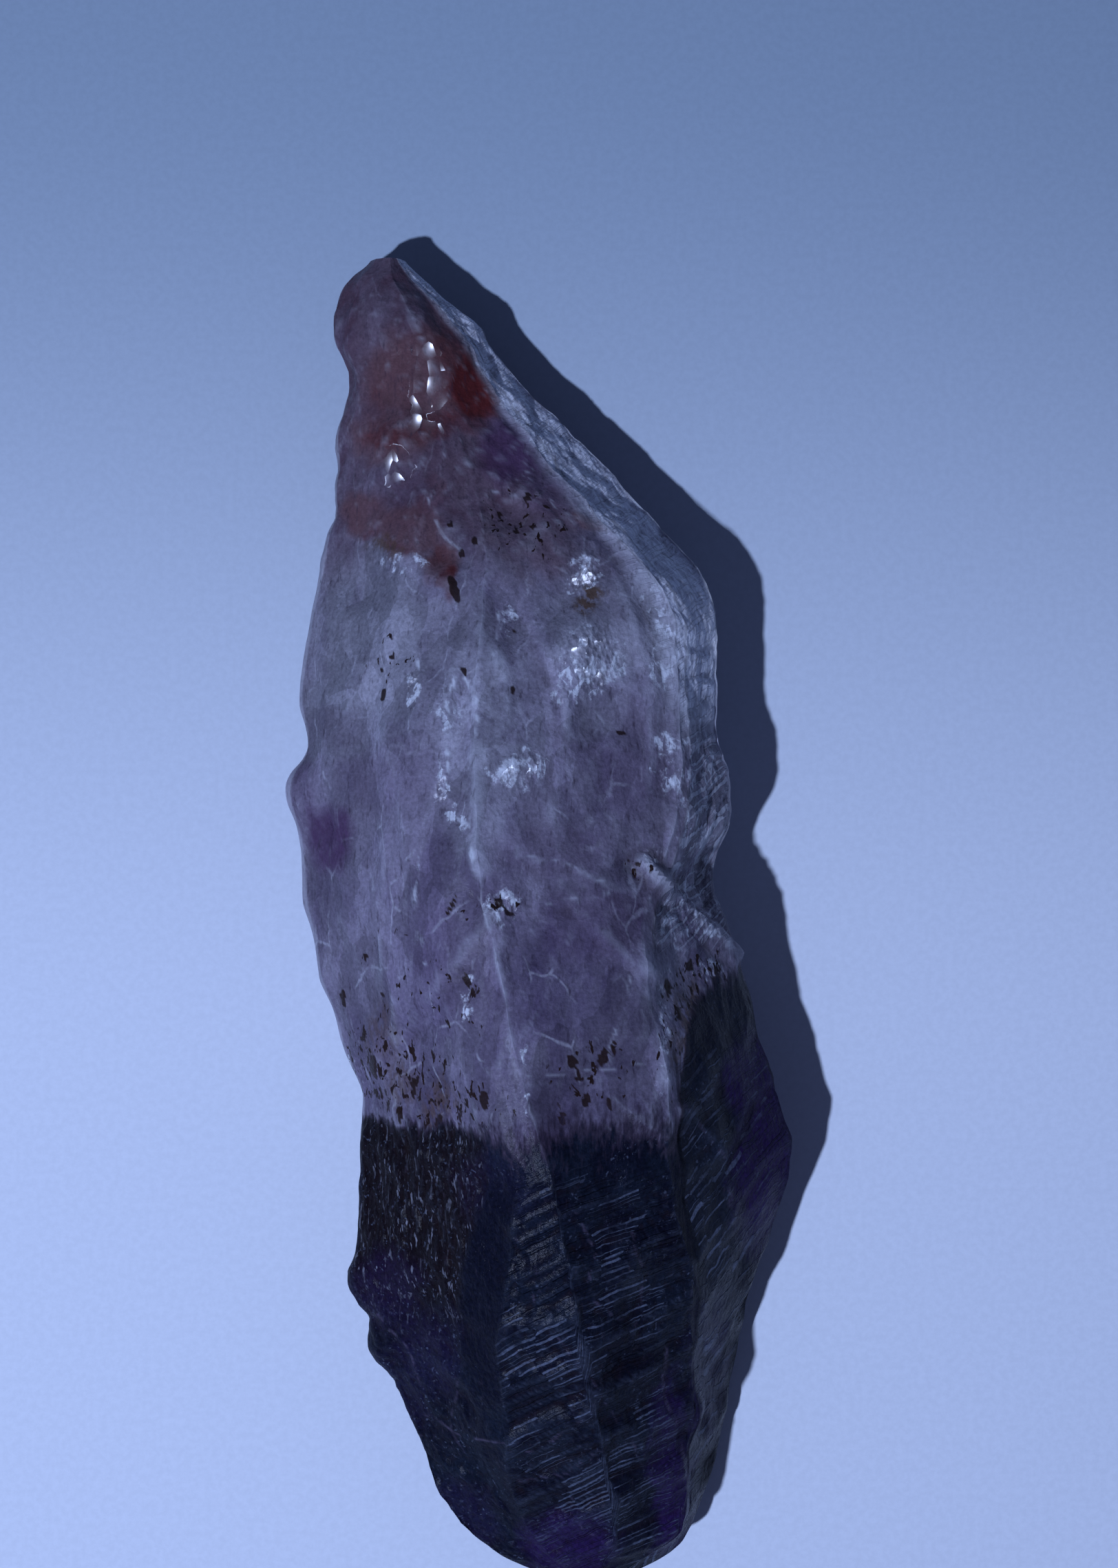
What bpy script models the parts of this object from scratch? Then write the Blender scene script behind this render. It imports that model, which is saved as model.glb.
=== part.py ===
"""Amethyst point: one natural crystal that lies on its flattened back.

The pale, stained root end points to +Y and the dark stepped tip to -Y. +Z is up.
The stone is a loft between unlike cross-sections. Each section is a polygon whose corners
run along the stone as its edges and ridges, and growth steps, lumps and pits are then raised
on it. Lengths below are in millimetres, and MM turns them into metres.
"""

import bmesh
import bpy
import numpy as np
from mathutils import Vector, noise

MM = 0.001

# Driving dimensions of the whole stone
LENGTH = 115.0
WIDTH = 43.5
THICKNESS = 31.0

ROOT_END = 58.3
TIP_END = -57.3

# Mesh density: (from y, to y, sections), closest at the ends and on the stepped tip
SECTION_RUNS = [
    (ROOT_END, 50.0, 9), (50.0, 8.0, 23), (8.0, -17.0, 17), (-17.0, TIP_END, 46),
]

# Half the length over which a kink between two hand-set points is rounded off
KINK_BLUR = 0.7

# The two outlines seen from above: (y, x, z)
LEFT_EDGE = [
    (58.3, -14.6, 6.8), (57.6, -15.8, 6.8), (56.6, -17.0, 7.0), (55.2, -17.8, 7.2),
    (53.0, -18.3, 7.6), (51.2, -18.3, 7.8), (49.6, -17.5, 8.0), (48.0, -16.8, 8.2),
    (45.0, -17.1, 8.6), (38.8, -17.2, 9.6), (35.6, -17.2, 10.2), (34.2, -18.0, 10.6),
    (30.3, -18.5, 11.2), (28.0, -19.3, 11.6), (23.6, -20.2, 12.4), (19.0, -20.8, 12.8),
    (14.8, -20.2, 13.2), (12.8, -21.5, 13.2), (11.2, -21.6, 13.2), (8.8, -20.7, 13.2),
    (2.0, -19.9, 13.4), (-3.3, -18.9, 13.6), (-9.9, -17.2, 14.2), (-14.4, -15.0, 14.8),
    (-18.3, -14.9, 15.4), (-26.6, -15.6, 15.4), (-29.8, -16.2, 15.2), (-32.0, -15.5, 14.8),
    (-33.5, -14.3, 14.4), (-35.0, -14.6, 14.2), (-37.0, -13.6, 13.9), (-38.4, -12.5, 13.6),
    (-42.4, -11.3, 13.0), (-45.4, -10.0, 12.6), (-49.4, -8.5, 12.0), (-51.8, -6.9, 11.4),
    (-53.8, -4.5, 11.0), (-55.6, -1.4, 10.7), (-57.3, 3.2, 10.5),
]
RIGHT_EDGE = [
    (58.3, -12.2, 7.0), (57.4, -10.9, 6.8), (55.9, -9.4, 7.0), (53.0, -6.7, 7.2),
    (47.3, -1.4, 7.8), (39.9, 5.9, 8.4), (33.6, 11.7, 9.4), (31.6, 13.4, 10.4),
    (28.1, 14.9, 12.0), (24.0, 15.3, 12.8), (18.5, 15.3, 13.0), (12.8, 16.0, 13.0),
    (9.0, 16.6, 12.6), (7.2, 15.9, 11.4), (4.9, 14.9, 10.6), (2.0, 15.2, 10.4),
    (-1.0, 16.7, 10.8), (-4.8, 17.9, 11.2), (-8.7, 18.5, 11.6), (-12.0, 19.8, 11.6),
    (-15.0, 20.9, 11.5), (-19.0, 21.8, 11.0), (-21.7, 21.8, 10.6), (-25.0, 21.0, 9.4),
    (-31.0, 19.0, 6.6), (-38.5, 17.2, 3.6), (-43.5, 16.3, 2.8), (-48.0, 15.3, 3.2),
    (-52.0, 13.8, 4.4), (-54.9, 12.3, 7.0), (-57.3, 6.2, 10.3),
]

# The ridges between them on the upper side, from left to right: (y, x, z)
LEFT_SHOULDER = [
    (58.3, -14.2, 7.9), (56.3, -16.0, 8.8), (53.0, -16.8, 9.6), (50.0, -16.6, 9.9),
    (47.0, -15.4, 10.4), (41.0, -15.2, 11.8), (35.0, -14.9, 13.4), (29.0, -16.0, 15.0),
    (23.0, -17.0, 16.4), (14.5, -17.2, 17.8), (6.0, -16.8, 18.6), (-3.0, -15.6, 19.2),
    (-8.5, -13.9, 19.8), (-14.5, -12.1, 20.4), (-20.0, -11.8, 20.6), (-26.0, -12.2, 19.8),
    (-32.0, -11.1, 19.0), (-38.0, -9.2, 17.4), (-44.0, -7.0, 15.6), (-50.5, -4.4, 13.4),
    (-54.5, -1.2, 12.0), (-57.3, 3.4, 10.8),
]
LEFT_CREST = [
    (58.3, -13.7, 8.4), (56.0, -14.5, 9.8), (53.0, -14.0, 10.8), (49.0, -13.0, 11.4),
    (44.0, -11.8, 12.8), (38.0, -10.8, 15.4), (32.0, -10.4, 18.2), (26.0, -10.5, 20.6),
    (20.0, -10.4, 22.8), (11.5, -10.5, 25.2), (3.0, -9.2, 27.2), (-5.0, -6.9, 28.8),
    (-13.5, -3.9, 29.6), (-19.0, -1.7, 29.8), (-25.0, -2.3, 29.0), (-31.0, -3.0, 27.4),
    (-36.0, -3.6, 25.0), (-40.5, -2.9, 22.6), (-45.0, -2.7, 19.6), (-48.5, -2.1, 16.8),
    (-52.5, -0.4, 13.9), (-57.3, 4.0, 11.2),
]
CREST = [
    (58.3, -13.2, 8.6), (56.0, -12.9, 10.2), (53.0, -11.4, 11.2), (49.0, -9.5, 12.0),
    (44.0, -7.6, 13.4), (38.0, -5.4, 16.2), (32.0, -4.4, 19.6), (26.0, -4.9, 22.4),
    (20.0, -5.4, 25.0), (11.5, -5.4, 27.6), (3.0, -4.8, 29.4), (-2.5, -3.1, 30.4),
    (-8.0, -2.1, 31.0), (-13.5, -0.9, 31.0), (-19.0, 0.9, 30.8), (-25.0, 2.1, 29.8),
    (-30.5, 3.0, 28.2), (-36.5, 3.8, 25.4), (-42.5, 5.2, 21.8), (-48.0, 6.3, 17.6),
    (-52.3, 6.6, 14.6), (-57.3, 4.6, 11.4),
]
RIGHT_SHOULDER = [
    (58.3, -12.7, 8.2), (56.5, -11.3, 8.8), (54.0, -9.2, 9.4), (51.5, -7.3, 10.0),
    (48.0, -5.1, 11.0), (44.0, -2.3, 12.2), (40.0, 1.2, 13.5), (35.5, 4.9, 15.2),
    (32.0, 8.1, 16.8), (29.0, 10.4, 18.0), (26.0, 11.4, 18.8), (20.0, 11.9, 19.6),
    (13.0, 12.2, 20.6), (9.0, 11.5, 21.6), (5.4, 10.1, 22.8), (1.5, 8.6, 24.4),
    (-2.5, 8.4, 25.8), (-7.0, 9.3, 26.6), (-11.5, 10.3, 27.0), (-16.0, 10.5, 27.0),
    (-21.5, 10.9, 26.0), (-27.0, 12.4, 23.4), (-31.0, 12.8, 21.2), (-37.0, 13.0, 17.2),
    (-43.5, 12.8, 13.8), (-48.5, 12.6, 11.4), (-53.0, 11.8, 10.8), (-57.3, 5.4, 11.0),
]
RIGHT_RIDGE = [
    (58.3, -12.4, 7.6), (54.5, -8.4, 8.2), (48.0, -4.0, 9.4), (40.0, 3.2, 11.2),
    (32.5, 10.2, 13.2), (29.5, 12.5, 14.6), (26.0, 13.6, 15.4), (17.0, 14.1, 15.8),
    (11.5, 14.4, 15.8), (7.5, 13.8, 15.6), (5.0, 12.8, 15.6), (3.0, 12.2, 15.8),
    (-0.5, 14.2, 15.8), (-4.0, 15.4, 16.4), (-8.5, 16.0, 17.2), (-12.0, 16.4, 18.0),
    (-15.5, 16.2, 18.6), (-20.0, 16.4, 18.6), (-24.5, 16.4, 17.4), (-27.5, 17.0, 15.2),
    (-30.5, 17.2, 12.8), (-34.0, 15.7, 12.0), (-37.5, 14.6, 11.0), (-44.5, 14.0, 8.8),
    (-51.0, 12.9, 8.4), (-54.0, 11.6, 9.2), (-57.3, 5.9, 10.7),
]

# The step down beside the right shoulder, where a second growth block leans on the first:
# (y, distance to the right, drop)
GROOVE = [
    (58.3, 0.1, 0.2), (50.0, 0.7, 0.8), (32.0, 0.8, 1.0), (9.0, 0.8, 0.9),
    (5.0, 0.9, 1.0), (-2.5, 0.9, 1.2), (-7.0, 0.9, 1.4), (-21.5, 1.0, 1.6),
    (-28.0, 0.8, 1.2), (-37.0, 0.4, 0.8), (-50.0, 0.3, 0.4), (-57.3, 0.1, 0.1),
]

# The steep band that drops from the left crest: (y, distance to the left, drop)
LEDGE = [
    (58.3, 0.1, 0.1), (53.0, 0.8, 0.5), (-12.0, 1.2, 0.8), (-17.0, 1.6, 1.2),
    (-21.0, 2.5, 2.0), (-28.0, 3.7, 3.1), (-34.0, 3.3, 2.8), (-40.0, 2.4, 2.0),
    (-48.0, 1.4, 1.2), (-57.3, 0.1, 0.1),
]

# The underside: (y, share of the width between edge and foot, height of the foot,
# height of the flank halfway)
UNDERSIDE = [
    (58.3, 0.30, 5.0, 5.6), (55.0, 0.30, 3.6, 5.0), (48.0, 0.28, 2.6, 4.6),
    (38.0, 0.25, 1.2, 4.4), (30.0, 0.22, 0.0, 4.4), (0.0, 0.20, -0.6, 4.6),
    (-30.0, 0.22, -0.4, 4.8), (-40.0, 0.25, 0.4, 5.2), (-48.0, 0.28, 2.4, 6.0),
    (-54.0, 0.32, 5.2, 8.0), (-57.3, 0.30, 9.2, 9.9),
]

# Where the flank stands between the edge and the foot, as a share of the way in
FLANK_INSET = 0.4

# How far up the right edge its flank reaches at most, as a share of the edge's own height
RIGHT_FLANK_SHARE = 0.72

# Faces between one ridge and the next, in the order of section_at
PANEL_FACES = (3, 5, 5, 2, 6, 9, 1, 5, 4, 3, 2, 4, 2)


def along(points, y, column):
    """One column of a hand-set list at each y, with its kinks slightly rounded."""
    ys = [point[0] for point in reversed(points)]
    values = [point[column] for point in reversed(points)]
    steps = np.linspace(-KINK_BLUR, KINK_BLUR, 5)
    return np.mean([np.interp(y + step, ys, values) for step in steps], axis=0)


def section_at(y):
    """The corners of the cross-section at each y, counter-clockwise seen from +Y."""
    left_x, left_z = along(LEFT_EDGE, y, 1), along(LEFT_EDGE, y, 2)
    right_x, right_z = along(RIGHT_EDGE, y, 1), along(RIGHT_EDGE, y, 2)
    width = right_x - left_x
    inset = along(UNDERSIDE, y, 1) * width
    foot_z, flank_z = along(UNDERSIDE, y, 2), along(UNDERSIDE, y, 3)
    right_flank_z = np.minimum(flank_z, foot_z + RIGHT_FLANK_SHARE * (right_z - foot_z))
    shoulder_x, shoulder_z = along(RIGHT_SHOULDER, y, 1), along(RIGHT_SHOULDER, y, 2)
    crest_x, crest_z = along(LEFT_CREST, y, 1), along(LEFT_CREST, y, 2)
    corners = [
        (left_x + FLANK_INSET * inset, flank_z),
        (left_x, left_z),
        (along(LEFT_SHOULDER, y, 1), along(LEFT_SHOULDER, y, 2)),
        (crest_x - along(LEDGE, y, 1), crest_z - along(LEDGE, y, 2)),
        (crest_x, crest_z),
        (along(CREST, y, 1), along(CREST, y, 2)),
        (shoulder_x, shoulder_z),
        (shoulder_x + along(GROOVE, y, 1), shoulder_z - along(GROOVE, y, 2)),
        (along(RIGHT_RIDGE, y, 1), along(RIGHT_RIDGE, y, 2)),
        (right_x, right_z),
        (right_x - FLANK_INSET * inset, right_flank_z),
        (right_x - inset, foot_z),
        (left_x + inset, foot_z),
    ]
    return [np.stack([x, y, z], axis=-1) for x, z in corners]


def lofted_points(y):
    """A grid of points on the loft: (sections, points round a section, 3)."""
    corners = section_at(y)
    rows = []
    for panel, faces in enumerate(PANEL_FACES):
        start = corners[panel]
        end = corners[(panel + 1) % len(corners)]
        rows += [start + (end - start) * step / faces for step in range(faces)]
    return np.stack(rows, axis=1)


def grid_normals(points):
    """Outward unit normals of a closed grid of sections."""
    lengthwise = np.gradient(points, axis=0)
    around = np.roll(points, -1, axis=1) - np.roll(points, 1, axis=1)
    normals = np.cross(lengthwise, around)
    return normals / np.maximum(np.linalg.norm(normals, axis=-1, keepdims=True), 1e-9)


def ramp(values, low, high):
    """0 below low, 1 above high and a smooth rise between them."""
    share = np.clip((values - low) / (high - low), 0.0, 1.0)
    return share * share * (3.0 - 2.0 * share)


def waviness(points, scale, seed):
    """Smooth noise at each point, about -1 to 1, with lumps about scale wide."""
    offset = Vector((7.3, 3.1, 5.7)) * seed
    flat = [noise.noise(Vector(point) / scale + offset) for point in points.reshape(-1, 3)]
    return np.array(flat).reshape(points.shape[:-1])


def scallops(points, width, length, seed):
    """Hollows that meet in sharp ridges, as chips leave them: 0 in a hollow, up to 1."""
    places = points.reshape(-1, 3) / (width, length, width) + seed * 1.7
    nearest = np.array([noise.voronoi(place)[0][0] for place in places])
    return (nearest * nearest).reshape(points.shape[:-1])


def growth_steps(points, steps, seed):
    """Ledges that cross the stone: a slow rise and a quick drop each pitch."""
    across, pitch, depth = steps
    way = points @ (np.array(across) / np.linalg.norm(across))
    way = way / pitch + STEP_BEND * waviness(points, 2.2 * pitch, seed)
    share = way - np.floor(way)
    return depth * (np.minimum(share / STEP_RISE, (1.0 - share) / (1.0 - STEP_RISE)) - 0.5)


# Lumps and pits: (x, y, z, radius, height), with a pit's height below zero
LUMPS = [
    (-21.0, 12.0, 12.0, 2.4, 0.9), (-20.6, 10.0, 15.0, 2.0, 0.5), (-15.9, -30.0, 13.0, 2.2, 0.9),
    (-13.6, -36.0, 14.0, 2.0, 0.7), (-12.0, 52.0, 12.0, 3.2, 0.7), (-13.0, 40.0, 14.0, 3.0, 0.5),
    (-2.0, 36.0, 17.6, 2.0, -0.7), (-9.0, 31.5, 19.6, 1.8, -0.7), (2.6, 28.8, 20.6, 2.0, -0.8),
    (-5.3, 3.0, 29.5, 1.8, -1.0), (-2.8, 14.0, 26.6, 2.2, 0.5), (3.6, 22.6, 22.6, 3.0, 0.5),
    (8.6, 6.0, 25.0, 1.8, -0.8), (15.6, 4.2, 13.0, 2.6, -1.2), (14.5, 8.5, 19.0, 2.6, 0.7),
    (12.4, -4.0, 21.0, 2.6, -0.6), (14.8, -17.0, 22.0, 2.8, 0.5), (3.4, -22.0, 31.0, 2.0, -0.5),
    (-9.0, -24.0, 25.0, 2.6, -0.6), (-6.4, -33.0, 24.5, 2.6, -0.5), (15.0, -42.0, 14.0, 2.4, 0.6),
    (-10.0, 4.0, 3.0, 4.0, -0.8), (12.0, 22.0, 5.0, 3.0, 0.6), (-13.0, -20.0, 5.0, 3.0, -0.7),
    (10.0, -34.0, 4.0, 3.0, 0.6), (2.0, 45.0, 5.0, 3.0, -0.6),
    (-9.8, 48.4, 12.4, 3.2, 0.9), (-12.4, 42.2, 13.2, 2.8, 0.8),
]

# Growth steps: (the way they climb, pitch, depth)
STEEP_STEPS = ((-0.50, 0.86, 0.1), 4.6, 0.50)
GENTLE_STEPS = ((-0.26, 0.96, 0.1), 5.6, 0.60)
FLANK_STEPS = ((0.84, -0.54, 0.2), 3.8, 0.45)

# Share of each pitch that climbs, and how far the steps stray from straight
STEP_RISE = 0.72
STEP_BEND = 0.5

# Unevenness of the whole surface: (length of its waves, height)
SWELL = (12.0, 0.30)
RIPPLE = (4.5, 0.16)
LEFT_TIP_LUMPS = (2.6, 0.40)

# Flaked hollows: width, length, depth, depth on the tip, and their mean, which is taken off
FLAKES = (7.0, 13.0, 0.95, 0.40, 0.22)

# Edges where flakes broke off the upper side: (height, reach, points as (x, y) from above).
# The stone stands proud on the left of each line, seen along it, and levels out over the reach.
FLAKE_EDGES = [
    (0.45, 4.0, [(-5.6, 11.5), (-5.5, 4.5), (-3.6, -1.0), (-2.6, -5.0)]),
    (-0.45, 4.5, [(-2.5, -2.0), (-2.4, -11.5), (-1.0, -17.0)]),
    (-0.40, 4.0, [(-7.0, 27.5), (-6.6, 20.0), (-7.4, 12.0)]),
    (0.35, 4.0, [(-13.2, 20.0), (-13.4, 10.0), (-12.4, 1.0)]),
    (-0.45, 3.5, [(-3.4, 1.2), (-8.6, -5.2), (-12.0, -10.4)]),
    (0.40, 3.5, [(2.2, 2.6), (6.7, -2.6), (8.6, -3.4)]),
    (-0.40, 4.0, [(5.5, 32.5), (8.6, 27.0), (10.2, 20.0), (9.8, 12.0)]),
    (0.35, 3.5, [(-0.6, 25.0), (1.6, 19.0), (1.0, 13.0)]),
    (-0.40, 4.0, [(0.4, -31.0), (2.0, -30.8), (7.5, -32.4)]),
    (0.50, 4.0, [(1.6, -33.4), (4.8, -38.0), (6.8, -42.0), (9.8, -47.6)]),
]

# Raised seams of the upper side: (half width, height, points as (x, y) from above)
SEAMS = [
    (1.1, 0.9, [(8.8, 5.6), (11.6, 2.6), (13.4, 0.4), (17.0, -2.5)]),
    (0.9, 0.4, [(12.0, -14.5), (15.5, -19.5), (16.2, -24.5)]),
]

# Beyond any distance on the stone
FAR = 1e3


def beside_line(points, line):
    """Distance to a line drawn on the upper side, and the signed distance to its left."""
    nearest = np.full(points.shape[:-1], FAR)
    leftward = np.zeros(points.shape[:-1])
    for start, end in zip(np.array(line[:-1]), np.array(line[1:])):
        way = end - start
        offset = points[..., :2] - start
        share = np.clip(offset @ way / (way @ way), 0.0, 1.0)
        gap = np.linalg.norm(offset - share[..., None] * way, axis=-1)
        turn = (way[0] * offset[..., 1] - way[1] * offset[..., 0]) / np.linalg.norm(way)
        leftward = np.where(gap < nearest, turn, leftward)
        nearest = np.minimum(nearest, gap)
    return nearest, leftward


def relief(points, normals):
    """How far each point moves out along its normal."""
    y = points[..., 1]
    up = ramp(normals[..., 2], 0.1, 0.45)
    right = ramp(normals[..., 0], 0.25, 0.6) * ramp(points[..., 2], 6.0, 10.0)
    tip = ramp(-y, 18.0, 23.0)
    right_of_crest = ramp(points[..., 0] - along(CREST, y, 1), -0.6, 0.6)
    left_face = ramp(along(LEFT_CREST, y, 1) - points[..., 0], 0.0, 1.0)

    moved = SWELL[1] * waviness(points, SWELL[0], 1) + RIPPLE[1] * waviness(points, RIPPLE[0], 2)
    width, length, depth, tip_depth, mean = FLAKES
    moved = moved + (depth + (tip_depth - depth) * tip) * (scallops(points, width, length, 1) - mean)
    steep_steps = growth_steps(points, STEEP_STEPS, 3)
    gentle_steps = growth_steps(points, GENTLE_STEPS, 4)
    steps = steep_steps + (gentle_steps - steep_steps) * right_of_crest
    moved = moved + up * tip * (1.0 - left_face) * steps
    moved = moved + tip * left_face * LEFT_TIP_LUMPS[1] * waviness(points, LEFT_TIP_LUMPS[0], 6)
    moved = moved + right * ramp(-y, -16.0, -6.0) * growth_steps(points, FLANK_STEPS, 5)
    for x, y0, z, radius, height in LUMPS:
        distance = np.linalg.norm(points - (x, y0, z), axis=-1) / radius
        moved = moved + height * np.exp(-distance * distance)
    for height, reach, line in FLAKE_EDGES:
        distance, leftward = beside_line(points, line)
        moved = moved + up * height * ramp(leftward, -0.5, 0.5) * np.exp(-distance / reach)
    for half_width, height, line in SEAMS:
        distance = beside_line(points, line)[0] / half_width
        moved = moved + up * height * np.maximum(1.0 - distance, 0.0)
    ends = ramp(y, TIP_END, TIP_END + 4.0) * ramp(-y, -ROOT_END, -54.0)
    return moved * (0.2 + 0.8 * ends) * (0.15 + 0.85 * ramp(points[..., 2], 0.5, 4.0))


def section_places():
    """Where the sections lie along the stone."""
    places = [np.linspace(start, end, count, endpoint=False) for start, end, count in SECTION_RUNS]
    return np.append(np.concatenate(places), TIP_END)


def fitted(points):
    """The points scaled to the driving dimensions and centred on the ground below the stone."""
    low, high = points.reshape(-1, 3).min(0), points.reshape(-1, 3).max(0)
    size = np.array([WIDTH, LENGTH, THICKNESS])
    middle = np.array([(low[0] + high[0]) / 2, (low[1] + high[1]) / 2, low[2]])
    return (points - middle) * size / (high - low)


def crystal_points():
    """The finished grid of surface points, in millimetres."""
    points = lofted_points(section_places())
    normals = grid_normals(points)
    points = points + normals * relief(points, normals)[..., None]
    points[..., 2] = np.maximum(points[..., 2], 0.0)
    return fitted(points)


def loft_mesh(name, points):
    """A closed mesh that joins each section to the next and closes both ends."""
    shape = bmesh.new()
    rings = [[shape.verts.new(point * MM) for point in section] for section in points]
    around = len(rings[0])
    for first, second in zip(rings, rings[1:]):
        for i in range(around):
            j = (i + 1) % around
            shape.faces.new((first[i], first[j], second[j], second[i]))
    for ring in (rings[0], rings[-1]):
        middle = shape.verts.new(sum((v.co for v in ring), Vector()) / around)
        for i in range(around):
            shape.faces.new((ring[i], ring[(i + 1) % around], middle))
    bmesh.ops.recalc_face_normals(shape, faces=shape.faces)
    mesh = bpy.data.meshes.new(name)
    shape.to_mesh(mesh)
    shape.free()
    return mesh


def amethyst_material():
    """Cloudy violet quartz with a glassy surface."""
    material = bpy.data.materials.new("amethyst")
    material.use_nodes = True
    shader = material.node_tree.nodes["Principled BSDF"]
    shader.inputs["Base Color"].default_value = (0.16, 0.13, 0.21, 1.0)
    shader.inputs["Roughness"].default_value = 0.35
    shader.inputs["Metallic"].default_value = 0.0
    shader.inputs["IOR"].default_value = 1.544
    return material


def build_crystal():
    """The whole stone as one object in its own collection."""
    group = bpy.data.collections.new("amethyst_point")
    bpy.context.scene.collection.children.link(group)
    mesh = loft_mesh("amethyst_point", crystal_points())
    mesh.materials.append(amethyst_material())
    group.objects.link(bpy.data.objects.new("amethyst_point", mesh))


for old in list(bpy.data.objects):
    bpy.data.objects.remove(old)
build_crystal()
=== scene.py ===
import math

import bpy
import numpy as np
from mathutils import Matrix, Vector, noise


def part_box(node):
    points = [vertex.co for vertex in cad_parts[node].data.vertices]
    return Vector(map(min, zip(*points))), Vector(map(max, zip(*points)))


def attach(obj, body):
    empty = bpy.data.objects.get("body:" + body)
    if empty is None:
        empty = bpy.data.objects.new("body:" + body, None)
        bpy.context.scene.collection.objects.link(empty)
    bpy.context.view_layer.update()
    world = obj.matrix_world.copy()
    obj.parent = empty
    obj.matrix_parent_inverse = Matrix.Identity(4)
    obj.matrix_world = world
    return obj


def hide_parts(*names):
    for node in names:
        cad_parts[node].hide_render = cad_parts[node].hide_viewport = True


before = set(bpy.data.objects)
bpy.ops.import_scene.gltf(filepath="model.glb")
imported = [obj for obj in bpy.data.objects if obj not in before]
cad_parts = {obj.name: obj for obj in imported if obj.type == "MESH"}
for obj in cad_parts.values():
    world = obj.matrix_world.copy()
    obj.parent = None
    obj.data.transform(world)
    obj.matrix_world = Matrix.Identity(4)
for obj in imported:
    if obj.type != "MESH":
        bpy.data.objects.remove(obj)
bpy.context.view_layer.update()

# A raw amethyst point on pale paper, seen from straight above.
# The stone is one lofted mesh. Its ridges are given in millimetres from root to tip,
# and the growth steps, chips, streaks and grain are raised on it in code.

mm = 0.001
stoneLow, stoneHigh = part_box("amethyst_point")


# The stone's ridges

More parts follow.
